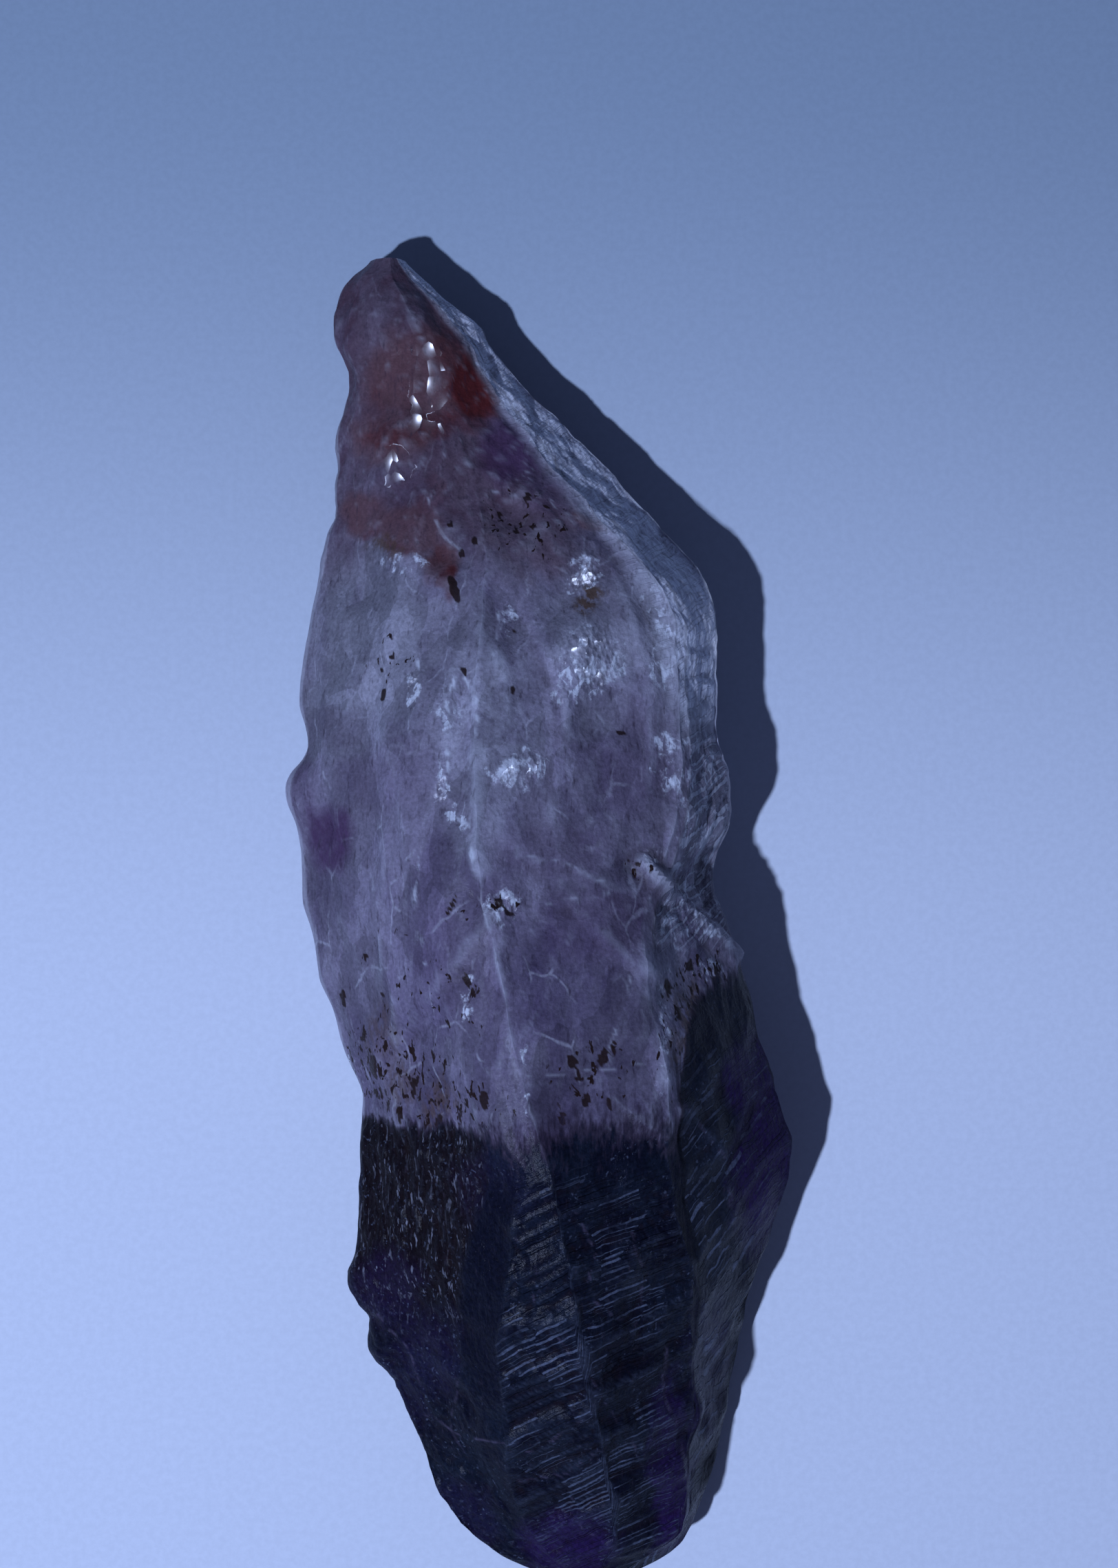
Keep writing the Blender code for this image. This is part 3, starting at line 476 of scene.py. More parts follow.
stonePatches = {
    "stain": [
        (-10.4, 46.8, 5.2, 4.6, 0.95), (-12.6, 41.4, 4.4, 2.6, 0.80), (-14.8, 35.0, 2.6, 2.2, 0.85),
        (-11.4, 33.2, 3.0, 2.6, 0.80), (-8.4, 30.6, 1.7, 2.6, 0.85), (-1.4, 34.4, 5.6, 3.2, 0.35),
        (3.9, 34.2, 2.1, 0.6, 0.80), (-7.7, 51.8, 2.1, 3.0, 0.55), (-6.0, 38.0, 4.0, 4.5, 0.30),
        (-15.4, 45.0, 2.0, 8.0, 0.30), (0.4, 31.0, 3.2, 2.2, 0.35),
    ],
    "deepStain": [
        (-5.6, 45.9, 2.3, 3.8, 1.0), (-12.4, 41.2, 3.2, 1.2, 0.60), (-7.6, 42.4, 3.4, 1.5, 0.62),
        (-7.4, 49.5, 1.4, 3.0, 0.5), (-9.4, 35.6, 1.3, 2.2, 0.40), (-14.4, 32.9, 1.0, 0.6, 0.55),
        (-7.5, 28.8, 0.9, 1.9, 0.8), (-14.0, 44.6, 1.0, 2.6, 0.4), (-8.6, 31.4, 1.0, 1.6, 0.5),
        (-11.8, 31.6, 1.6, 0.5, 0.40),
    ],
    "mauve": [
        (-13.4, 53.0, 7.0, 7.0, 1.0), (-8.0, 38.0, 9.0, 6.0, 0.90), (-2.0, 33.0, 6.0, 4.0, 0.7),
        (-11.0, 46.0, 8.0, 7.0, 1.0), (-17.0, 42.0, 4.0, 12.0, 0.9), (4.0, 31.6, 4.0, 3.0, 0.3),
    ],
    "violet": [
        (-1.8, 40.6, 3.3, 3.6, 0.85), (0.8, 37.4, 2.2, 2.8, 0.5), (-17.9, 7.2, 2.2, 3.0, 0.9),
        (-20.1, 10.2, 1.4, 3.0, 0.4), (1.0, 6.3, 5.0, 2.2, 0.25), (5.2, 0.4, 5.0, 3.4, 0.28),
        (-6.0, -3.0, 3.6, 4.6, 0.20), (-13.0, 12.0, 4.0, 3.0, 0.20), (7.4, 12.5, 3.0, 3.4, 0.25),
        (-1.0, -18.6, 3.4, 2.6, 0.3), (-16.8, 16.4, 2.6, 2.0, 0.25), (8.4, 18.0, 3.0, 3.0, 0.25),
    ],
    # the patch at (4.4, 22.6) is painted sheen, the others are milky quartz
    "milkyAndSheen": [
        (-4.0, 17.0, 4.6, 7.0, 0.9), (4.4, 20.0, 3.6, 4.0, 0.6), (4.4, 22.6, 4.0, 3.0, 1.0),
        (-13.0, 21.0, 5.0, 6.0, 0.5), (10.4, -2.6, 1.7, 6.4, 0.4), (-5.0, 9.0, 3.0, 3.0, 0.4),
    ],
    "dusk": [
        (4.0, -15.5, 8.0, 4.6, 0.85), (5.6, -9.0, 5.0, 7.0, 0.70), (-17.6, 4.0, 2.6, 5.0, 0.4),
        (6.6, 12.6, 4.0, 4.4, 0.45), (-9.0, -14.6, 7.0, 3.0, 0.55), (6.0, 1.6, 5.0, 4.0, 0.40),
        (2.8, -4.0, 5.6, 6.0, 0.85), (-8.0, -6.0, 4.0, 5.0, 0.25), (10.0, -3.0, 2.0, 7.0, 0.12),
        (-3.4, 22.0, 3.0, 3.0, 0.20), (-13.0, 28.4, 3.0, 2.0, 0.15), (-9.0, 6.0, 3.0, 5.0, 0.15),
        (13.4, -4.0, 3.6, 4.0, 0.15), (-15.0, -6.0, 3.0, 5.0, 0.2),
    ],
    "indigo": [
        (2.6, -53.4, 3.8, 3.4, 0.8), (11.6, -50.0, 1.8, 5.8, 1.0), (-13.0, -31.0, 3.4, 3.6, 0.25),
        (19.2, -20.6, 3.0, 8.0, 1.0), (18.4, -13.0, 2.8, 3.4, 1.0), (-7.0, -51.0, 3.6, 3.0, 0.2),
        (14.6, -39.0, 1.8, 7.0, 0.45), (-12.4, -40.0, 3.0, 4.0, 0.15), (10.8, -43.0, 1.6, 5.0, 0.6),
        (-3.4, -21.0, 3.4, 3.0, 0.12), (-9.4, -36.0, 3.0, 4.0, 0.2),
    ],
    # painted sheen: the patches at (3.9, 29.2), (4.3, 21.6) and (-1.6, 12.6) stand for broad
    # reflections, the others are frosted
    "frostAndSheen": [
        (3.9, 29.2, 1.7, 1.4, 0.9), (4.3, 21.6, 2.6, 3.2, 1.0), (3.0, 19.2, 2.2, 1.2, 0.7),
        (-1.6, 12.6, 2.5, 1.7, 0.9), (-7.6, 17.4, 0.9, 4.0, 0.5), (-10.2, 19.4, 0.6, 1.6, 0.8),
        (-7.6, 11.4, 0.8, 1.7, 0.8), (10.8, 24.4, 2.2, 5.0, 0.55), (11.6, 13.0, 2.4, 3.4, 0.60),
        (-2.9, 1.6, 1.8, 1.4, 0.75), (9.5, 5.9, 0.9, 0.9, 0.9), (-11.3, 30.2, 2.2, 1.2, 0.45),
        (-2.6, 25.4, 1.2, 1.8, 0.55), (13.4, 0.6, 3.4, 1.0, 0.80), (-6.4, 8.8, 1.4, 0.5, 0.6),
        (-15.6, -11.4, 1.0, 3.4, 0.35), (-1.0, -12.2, 0.5, 3.2, 0.35), (10.6, -9.0, 1.0, 6.0, 0.45),
        (-5.4, -5.6, 1.0, 3.0, 0.35), (14.2, -4.4, 1.6, 0.9, 0.7), (8.8, 36.6, 1.4, 5.0, 0.5),
    ],
    # painted glow: a thin right edge painted pale, as if lit through from behind
    "paintedEdgeGlow": [(15.1, 26.4, 1.1, 3.4, 1.0), (15.0, 22.6, 0.6, 1.6, 0.5)],
    "greyGreen": [
        (-14.5, 24.0, 5.5, 8.5, 1.0), (-16.7, 18.5, 3.4, 5.5, 0.9), (6.0, 26.0, 6.0, 5.0, 0.6),
        (13.0, 30.0, 3.5, 6.0, 0.7), (-8.0, 24.0, 5.0, 4.0, 0.5), (14.5, 10.0, 2.0, 8.0, 0.6),
    ],
    "specks": [
        (-12.0, -13.0, 6.5, 4.6, 1.0), (-9.0, -7.0, 6.0, 5.0, 0.45), (4.4, -12.0, 3.6, 3.0, 0.6),
        (13.6, -5.6, 3.2, 3.6, 1.0), (10.6, -10.0, 1.4, 5.0, 0.7), (-1.6, 34.0, 4.0, 3.6, 0.6),
        (-12.4, 22.0, 2.0, 2.6, 0.5), (-3.2, 1.8, 2.0, 1.4, 0.9), (8.3, 5.2, 1.2, 0.9, 0.9),
        (-6.8, 1.6, 1.2, 1.6, 0.5), (-13.0, -2.0, 4.0, 3.0, 0.3), (-6.0, -14.6, 4.0, 3.0, 0.8),
    ],
    "gloss": [
        (-9.7, 46.6, 1.9, 3.2, 1.0), (-12.2, 39.0, 1.9, 1.7, 1.0), (-9.6, 42.0, 1.4, 1.6, 0.7),
        (6.0, -27.0, 4.6, 4.0, 0.17), (-1.3, -35.2, 1.8, 1.6, 0.36), (-1.6, -25.0, 2.0, 3.6, 0.16),
    ],
    "ochre": [
        (3.9, 27.2, 1.2, 1.1, 0.9), (-8.3, -15.0, 1.2, 2.6, 0.6), (-12.6, -9.0, 1.8, 2.4, 0.4),
        (12.6, -8.6, 1.6, 4.0, 0.8), (-13.4, 31.6, 1.6, 0.8, 0.7), (-11.6, -13.4, 1.6, 2.4, 0.5),
    ],
}

# single dark inclusions: (x, y, half width, half length, lean)
darkInclusions = [
    (-7.1, 28.0, 0.42, 1.20, 0.35), (-13.0, 19.2, 0.26, 0.60, -0.3), (-13.9, -12.0, 0.34, 1.00, 0.1),
    (-8.2, -16.4, 0.34, 1.10, 0.0), (-4.4, -13.8, 0.34, 0.85, 0.0), (2.7, -10.8, 0.42, 0.50, 0.3),
    (3.2, -11.9, 0.26, 0.50, 0.0), (5.2, -10.4, 0.36, 0.85, -0.2), (6.1, -9.8, 0.24, 0.60, 0.0),
    (3.9, -13.8, 0.32, 0.60, -0.1), (5.7, -14.3, 0.26, 0.60, 0.1), (1.9, -15.4, 0.28, 0.55, 0.1),
    (-5.8, -4.2, 0.32, 0.65, 0.2), (-13.0, -5.8, 0.20, 0.35, 0.0), (-16.6, -6.4, 0.20, 0.75, 0.2),
    (-3.2, 2.1, 0.45, 0.40, 0.0), (-2.4, 1.3, 0.26, 0.40, 0.3), (8.1, 5.3, 0.75, 0.22, -0.3),
    (-5.4, 32.2, 0.30, 0.24, 0.0), (-1.0, 36.0, 0.34, 0.50, -0.4), (-2.0, 33.0, 0.24, 0.30, 0.0),
    (-7.6, 33.6, 0.34, 0.22, 0.0), (-12.2, 22.4, 0.20, 0.30, 0.0), (-6.2, 21.0, 0.26, 0.35, 0.3),
    (-2.1, 19.4, 0.18, 0.50, 0.3), (-7.1, 1.9, 0.18, 0.80, -0.5), (-14.5, -2.7, 0.26, 0.34, 0.0),
    (12.6, -3.4, 0.34, 0.45, 0.0), (10.7, -5.2, 0.26, 0.85, 0.1), (15.0, -5.0, 0.40, 0.50, 0.2),
    (6.7, 16.0, 0.40, 0.16, -0.4), (-14.8, -9.6, 0.20, 0.45, 0.0), (-10.4, -13.6, 0.24, 0.90, 0.0),
    (-11.6, -15.8, 0.22, 0.80, 0.0), (-6.4, -15.6, 0.22, 0.80, 0.0), (-2.2, 24.6, 0.16, 0.30, 0.0),
    (-0.6, 33.4, 0.22, 0.26, 0.0), (-3.4, 34.6, 0.20, 0.36, 0.3), (-6.6, 31.0, 0.26, 0.46, -0.2),
    (0.6, 35.2, 0.24, 0.24, 0.0), (-13.2, 21.2, 0.16, 0.24, 0.0), (11.6, -7.4, 0.22, 0.80, 0.1),
]

# where the stone turns dark: (x, y) on the front, and on the block that leans on its right
darkStart = {
    "front": [(-21.0, -15.6), (-12.0, -16.4), (-6.0, -16.0), (-4.2, -15.6), (-1.0, -16.0),
              (2.5, -15.0), (6.5, -14.6), (9.5, -15.0), (12.0, -16.0)],
    "block": [(9.0, -17.0), (10.6, -16.0), (11.6, -12.0), (12.6, -6.4), (14.0, -4.8), (17.0, -3.6),
              (19.0, -5.0), (22.0, -9.0)],
}


def edgeOfDark(points, places):
    x, y = points[..., 0], points[..., 1]
    frontStart = np.interp(x, *zip(*darkStart["front"]))
    blockStart = np.interp(x, *zip(*darkStart["block"]))
    onBlock = betweenCorners(places, "groove", "rightFlank", 0.1)
    start = frontStart + (blockStart - frontStart) * onBlock
    depth = start - y + 0.9 * waviness(points, 1.6, 51) + 0.6 * waviness(points, (0.4, 1.8, 0.5), 52)
    soft = 1.2 + 4.3 * ramp(x, -7.0, -2.0) * (1.0 - onBlock) + 1.0 * onBlock
    return ramp(depth / soft, -0.35, 1.0)


def inclusionsOf(points, normals):
    total = np.zeros(points.shape[:-1])
    x = points[..., 0] + 0.20 * waviness(points, 0.6, 55)
    y = points[..., 1] + 0.28 * waviness(points, 0.7, 56)
    onTop = ramp(normals[..., 2], 0.0, 0.2)
    for cx, cy, halfWidth, halfLength, lean in darkInclusions:
        across = (x - cx) - lean * (cy - y)
        distance = np.sqrt((across / halfWidth) ** 2 + ((y - cy) / halfLength) ** 2)
        total = np.maximum(total, onTop * ramp(-distance, -1.25, -0.75))
    return total


def paleSeams(points, normals):
    # worn pale edges along the flake lines
    total = np.zeros(points.shape[:-1])
    stray = lineStray(points)
    broken = ramp(waviness(points, 0.9, 57), -0.35, 0.25)
    for _, _, paleness, line in stoneRelief["flakeEdges"]:
        distance, leftward = besideLine(points, line)
        offLine = np.where(distance < np.abs(leftward) + 0.05, np.abs(leftward + stray), distance)
        total = np.maximum(total, paleness * ramp(-offLine, -0.28, -0.04))
    for _, _, line in stoneRelief["seams"]:
        distance = np.abs(besideLine(points, line)[0] + 2.0 * stray)
        total = np.maximum(total, 0.5 * ramp(-distance, -0.38, -0.06))
    return total * broken * ramp(normals[..., 2], 0.0, 0.3)


def colourZones(points, normals, places, zones):
    shares = {name: patches(points, blobs) for name, blobs in stonePatches.items()}
    shares["dark"] = edgeOfDark(points, places)
    bandFrost = 0.75 * zones["band"] * ramp(waviness(points, (1.2, 2.4, 1.2), 53), -0.6, 0.2)
    breakFrost = 0.70 * zones["fracture"] * ramp(waviness(points, (0.8, 1.6, 0.8), 54), -0.3, 0.3)
    shares["frostAndSheen"] = np.maximum(shares["frostAndSheen"], np.maximum(bandFrost, breakFrost))
    shares["inclusion"] = inclusionsOf(points, normals)
    shares["seam"] = paleSeams(points, normals)
    fineEdge = np.clip((unevenness(points, normals, 1) - 0.012) / 0.05, 0.0, 1.0)
    broadEdge = np.clip((unevenness(points, normals, 3) - 0.06) / 0.20, 0.0, 1.0)
    shares["edge"] = np.maximum(fineEdge, broadEdge)
    shares["hollow"] = np.clip((-unevenness(points, normals, 2) - 0.02) / 0.12, 0.0, 1.0)
    frontStriae = zones["frontLeft"] + zones["frontRight"] + zones["flank"]
    shares["striae"] = np.clip(frontStriae + 0.9 * zones["fracture"] + 0.7 * zones["band"], 0.0, 1.0)
    shares["band"] = zones["band"]
    shares["breaks"] = zones["fracture"]
    facingUp = ramp(normals[..., 2], 0.55, 0.88)
    satin = 0.02 + facingUp * (0.06 + 0.30 * shares["frostAndSheen"] + 0.05 * shares["dark"])
    shares["gloss"] = np.maximum(shares["gloss"], satin)
    shares["streaks"] = zones["leftTip"] * ramp(points[..., 1], -37.0, -28.0)
    shares["block"] = zones["flank"] * (1.0 - zones["lowerFlank"])
    shares["leftTip"] = zones["leftTip"]
    shares["steep"] = zones["steep"] * ramp(points[..., 1], -42.0, -34.0)
    runs = ("leftStriae", "rightStriae", "flankStriae")
    leftWay, rightWay, flankWay = (points @ np.array(stoneRelief[name][0]) for name in runs)
    way = leftWay + (rightWay - leftWay) * betweenCorners(places, "crest", "rightShoulder", 0.02)
    shares["way"] = way + (flankWay - way) * betweenCorners(places, "groove", "rightEdge", 0.02)
    return shares


def inScene(name, data):
    thing = bpy.data.objects.new(name, data)
    bpy.context.scene.collection.objects.link(thing)
    return thing


def closedMesh(name, points, shares):
    sections, around = points.shape[:2]
    ends = [points[0].mean(0), points[-1].mean(0)]
    vertices = np.concatenate([points.reshape(-1, 3), ends]) * mm
    first = np.arange(sections * around).reshape(sections, around)
    nextAround = np.roll(first, -1, axis=1)
    quads = np.stack([first[:-1], first[1:], nextAround[1:], nextAround[:-1]], axis=-1)
    faces = quads.reshape(-1, 4).tolist()
    rootCap, tipCap = sections * around, sections * around + 1
    faces += [(first[0, i], nextAround[0, i], rootCap) for i in range(around)]
    faces += [(nextAround[-1, i], first[-1, i], tipCap) for i in range(around)]
    mesh = bpy.data.meshes.new(name)
    mesh.from_pydata(vertices.tolist(), [], faces)
    for share, values in shares.items():
        flat = np.append(values.reshape(-1), [values[0].mean(), values[-1].mean()])
        mesh.attributes.new(share, "FLOAT", "POINT").data.foreach_set("value", flat.astype(np.float32))
    mesh.validate()
    mesh.shade_smooth()
    mesh.set_sharp_from_angle(angle=math.radians(stoneRelief["sharpFrom"]))
    return mesh


def growStone():
    points, places = loftPoints()
    amount, size = stoneRelief["warp"]
    sideways = np.zeros(points.shape)
    sideways[..., 0] = waviness(points, size, 11)
    sideways[..., 2] = waviness(points, size, 12)
    normals = gridNormals(points)
    zones = zonesOf(points, places)
    print("stone: ridges lofted,", points.shape[0] * points.shape[1], "points")
    faded = fadeAtEnds(points)[..., None]
    height = coarseRelief(points, normals, zones) + fineRelief(points, zones)
    points = points + (normals * height[..., None] + amount * sideways) * faded
    points[..., 2] = np.maximum(points[..., 2], 0.0)
    points = fittedToFrame(points)
    print("stone: steps, chips and grain raised")
    shares = colourZones(points, gridNormals(points), places, zones)
    stone = inScene("amethystPoint", closedMesh("amethystPoint", points, shares))
    print("stone: colour zones laid out")
    return stone


# Material helpers. Each one adds its nodes to the material that was begun last.

begunTrees = []


def newNode(kind):
    return begunTrees[-1].nodes.new("ShaderNode" + kind)


def link(source, target):
    begunTrees[-1].links.new(source, target)


def setOrLink(socket, value):
    if isinstance(value, bpy.types.NodeSocket):
        link(value, socket)
    else:
        socket.default_value = value


def maths(operation, first, second, clamp=False):
    node = newNode("Math")
    node.operation = operation
    node.use_clamp = clamp
    setOrLink(node.inputs[0], first)
    setOrLink(node.inputs[1], second)
    return node.outputs[0]


def inMillimetres():
    place = newNode("TexCoord").outputs["Object"]
    return stretched(place, (1.0 / mm, 1.0 / mm, 1.0 / mm))


def newMaterial(name):
    material = bpy.data.materials.new(name)
    material.use_nodes = True
    begunTrees.append(material.node_tree)
    return material, material.node_tree.nodes["Principled BSDF"], inMillimetres()


def times(first, second):
    return maths("MULTIPLY", first, second)


def plus(first, second):
    return maths("ADD", first, second)


def mixed(share, first, second, how="MIX"):
    node = newNode("Mix")
    node.data_type = "RGBA"
    node.blend_type = how
    setOrLink(node.inputs["Factor"], share)
    for socket, value in ((node.inputs["A"], first), (node.inputs["B"], second)):
        setOrLink(socket, value if isinstance(value, bpy.types.NodeSocket) else (*value, 1.0))
    return node.outputs["Result"]


def sharper(value, low, high, outLow=0.0, outHigh=1.0):
    node = newNode("MapRange")
    node.interpolation_type = "SMOOTHSTEP"
    setOrLink(node.inputs["Value"], value)
    for name, limit in zip(("From Min", "From Max", "To Min", "To Max"), (low, high, outLow, outHigh)):
        node.inputs[name].default_value = limit
    return node.outputs["Result"]


def vectorMaths(operation, first, *others):
    node = newNode("VectorMath")
    node.operation = operation
    for socket, value in zip(node.inputs, (first, *others)):
        setOrLink(socket, value)
    return node.outputs[0]


def stretched(place, scale):
    return vectorMaths("MULTIPLY", place, scale)


def noisy(place, scale, detail=3.0, roughness=0.55, distortion=0.0):
    node = newNode("TexNoise")
    link(place, node.inputs["Vector"])
    names = ("Scale", "Detail", "Roughness", "Distortion")
    for name, amount in zip(names, (scale, detail, roughness, distortion)):
        node.inputs[name].default_value = amount
    return node.outputs["Fac"]


def banded(place, scale, detail=3.0):
    # noise along one line, for striae
    node = newNode("TexNoise")
    node.noise_dimensions = "1D"
    node.inputs["Scale"].default_value = scale
    node.inputs["Detail"].default_value = detail
    link(place, node.inputs["W"])
    return node.outputs["Fac"]


def warped(place, scale, amount):
    # the place pushed about by slow waves
    waves = newNode("TexNoise")
    link(place, waves.inputs["Vector"])
    waves.inputs["Scale"].default_value = scale
    waves.inputs["Detail"].default_value = 3.0
    return vectorMaths("MULTIPLY_ADD", waves.outputs["Color"], (amount, amount, amount), place)


def cells(place, scale, feature="F1"):
    node = newNode("TexVoronoi")
    node.feature = feature
    link(place, node.inputs["Vector"])
    node.inputs["Scale"].default_value = scale
    return node


def zone(name):
    node = newNode("Attribute")
    node.attribute_name = name
    return node.outputs["Fac"]


def unevenZone(name, value, *limits):
    return times(zone(name), sharper(value, *limits))


def tinted(colour, share, name):
    return mixed(share, colour, stoneFinish[name])


def mottled(colour, value, *limits):
    return mixed(1.0, colour, sharper(value, *limits), "MULTIPLY")


# Finish of the stone: cloudy quartz, iron stain, violet patches and the dark stepped tip

stoneFinish = {
    "lilacGrey": (0.182, 0.166, 0.222),
    "greyGreen": (0.205, 0.204, 0.244),
    "violetGrey": (0.112, 0.092, 0.150),
    "dusk": (0.052, 0.040, 0.078),
    "wisp": (0.290, 0.290, 0.350),
    "vein": (0.400, 0.410, 0.480),
    # frosted pale colour, also used for the painted sheen
    "frostAndSheen": (0.560, 0.600, 0.680),
    # pale frosted band, painted paler still to make up for the shade on its steep face
    "paleBandAndPaintedLight": (0.700, 0.740, 0.840),
    "paintedEdgeGlow": (0.820, 0.840, 0.900),
    "mauve": (0.078, 0.044, 0.062),
    # pale colour of the painted glow on the thin right edge
    "violet": (0.066, 0.032, 0.084),
    "stain": (0.114, 0.056, 0.062),
    "deepStain": (0.086, 0.017, 0.018),
    "ochre": (0.085, 0.052, 0.034),
    "inclusion": (0.020, 0.011, 0.010),
    "night": (0.0042, 0.0050, 0.0124),
    "teal": (0.0065, 0.0095, 0.0190),
    "indigo": (0.0180, 0.0084, 0.0500),
    "brownBlack": (0.0068, 0.0042, 0.0058),
    "fleck": (0.2000, 0.2100, 0.2600),
    "twilight": (0.0310, 0.0220, 0.0380),
    # painted highlight for the dark tip's lit ledges, glinting grains and edges
    "darkEdge": (0.0820, 0.1000, 0.1500),
    "blockGrey": (0.0110, 0.0145, 0.0250),
    "cloudDepth": 0.25,                   # share of light that travels inside the cloudy part
    "cloudReach": 0.0012,                 # how far it travels, in metres
    "cloudColour": (0.85, 0.80, 1.0),
    "bumpHeight": 0.17,                   # in millimetres
    "facetsPerMm": 0.80,                  # of the glassy spots
    "facetWay": (-0.13, -0.22, 0.97),     # they face about halfway between lamp and camera,
    "facetSpread": 0.50,                  # and stray this far from it
    "facetHollow": 0.16,                  # how dished each one is
    "facetsFrom": (0.22, 0.40),           # share of gloss where they begin and where they are full
    "refraction": 1.544,
    "shine": 0.02,                        # strength of plain reflections
    "coatRoughness": 0.20,                # of the glassy spots
}


def veinShare(place):
    # thin healed cracks, broken here and there
    bent = stretched(warped(place, 0.22, 2.0), (1.0, 0.6, 1.0))
    cracks = cells(bent, 0.17, "DISTANCE_TO_EDGE").outputs["Distance"]
    lines = sharper(cracks, 0.003, 0.020, 1.0, 0.0)
    return times(lines, sharper(noisy(place, 0.35, 3.0), 0.46, 0.62))


def cloudyColour(place, veil, fine):
    broad = noisy(stretched(place, (1.0, 0.45, 1.0)), 0.16, 4.0, 0.6, 0.6)
    bent = warped(place, 0.5, 1.2)
    planes = cells(stretched(bent, (1.0, 0.55, 1.0)), 0.24).outputs["Color"]
    flats = cells(stretched(bent, (1.0, 0.60, 1.0)), 0.62).outputs["Color"]
    greyShare = sharper(broad, 0.42, 0.66, 0.0, 0.8)
    colour = mixed(greyShare, stoneFinish["lilacGrey"], stoneFinish["violetGrey"])
    colour = tinted(colour, times(zone("greyGreen"), 0.9), "greyGreen")
    colour = tinted(colour, sharper(veil, 0.54, 0.74, 0.0, 0.5), "wisp")
    colour = tinted(colour, sharper(veil, 0.30, 0.48, 0.35, 0.0), "violetGrey")
    duskShare = unevenZone("dusk", veil, 0.25, 0.6, 1.0, 0.7)
    colour = tinted(colour, duskShare, "dusk")
    # milky patches, one of them painted sheen
    milkAndSheenShare = unevenZone("milkyAndSheen", veil, 0.30, 0.65, 0.35, 0.95)
    colour = tinted(colour, milkAndSheenShare, "wisp")
    colour = mottled(colour, planes, 0.2, 0.8, 0.84, 1.14)
    colour = mottled(colour, flats, 0.2, 0.8, 0.88, 1.12)
    colour = tinted(colour, times(veinShare(place), 0.42), "vein")
    return mottled(colour, fine, 0.2, 0.8, 0.93, 1.07)


def stainedColour(colour, veil, fine, speckle):
    mauveShare = unevenZone("mauve", veil, 0.25, 0.6, 1.0, 0.65)
    colour = tinted(colour, mauveShare, "mauve")
    violetShare = unevenZone("violet", veil, 0.25, 0.55, 0.6, 1.0)
    colour = tinted(colour, violetShare, "violet")
    stainEdge = plus(zone("stain"), times(veil, 0.6))
    colour = tinted(colour, sharper(stainEdge, 0.30, 1.40, 0.0, 0.95), "stain")
    deepEdge = plus(zone("deepStain"), times(veil, 0.6))
    colour = tinted(colour, sharper(deepEdge, 0.40, 1.35), "deepStain")
    ochreShare = unevenZone("ochre", speckle, 0.38, 0.56)
    colour = tinted(colour, ochreShare, "ochre")
    return mottled(colour, fine, 0.25, 0.75, 0.86, 1.16)


def frostSheenAndGlowColour(colour, place, speckle, striae):
    # breaks and raised edges are paler, in crisp small flakes; some frosted patches are painted sheen,
    # the band gets painted light and a thin edge a painted glow
    flake = cells(stretched(place, (1.0, 0.6, 1.0)), 1.5).outputs["Color"]
    patchy = plus(times(flake, 0.45), times(speckle, 1.1))
    crisp = sharper(patchy, 0.74, 0.88, 0.05, 1.0)
    torn = times(maths("SUBTRACT", noisy(place, 0.55, 5.0, 0.7), 0.5), 5.5)
    # frosted patches, the painted sheen among them, torn at their rims
    frostAndSheenEdge = plus(zone("frostAndSheen"), torn)
    frostAndSheenEdge = times(frostAndSheenEdge, sharper(zone("frostAndSheen"), 0.0, 0.3))
    frostAndSheenShare = times(sharper(frostAndSheenEdge, 0.30, 1.10), crisp)
    colour = tinted(colour, frostAndSheenShare, "frostAndSheen")
    # painted light: the band faces away from the lamp, so its pale colour is raised to look lit
    paintedBandLightShare = unevenZone("band", patchy, 0.50, 0.95, 0.60, 1.0)
    colour = tinted(colour, paintedBandLightShare, "paleBandAndPaintedLight")
    colour = tinted(colour, times(zone("edge"), 0.30), "frostAndSheen")
    breakShare = times(times(striae, zone("breaks")), 0.55)
    colour = tinted(colour, breakShare, "frostAndSheen")
    colour = tinted(colour, sharper(zone("seam"), 0.10, 0.90, 0.0, 0.75), "frostAndSheen")
    # painted glow on the thin right edge
    return tinted(colour, sharper(zone("paintedEdgeGlow"), 0.3, 0.7), "paintedEdgeGlow")


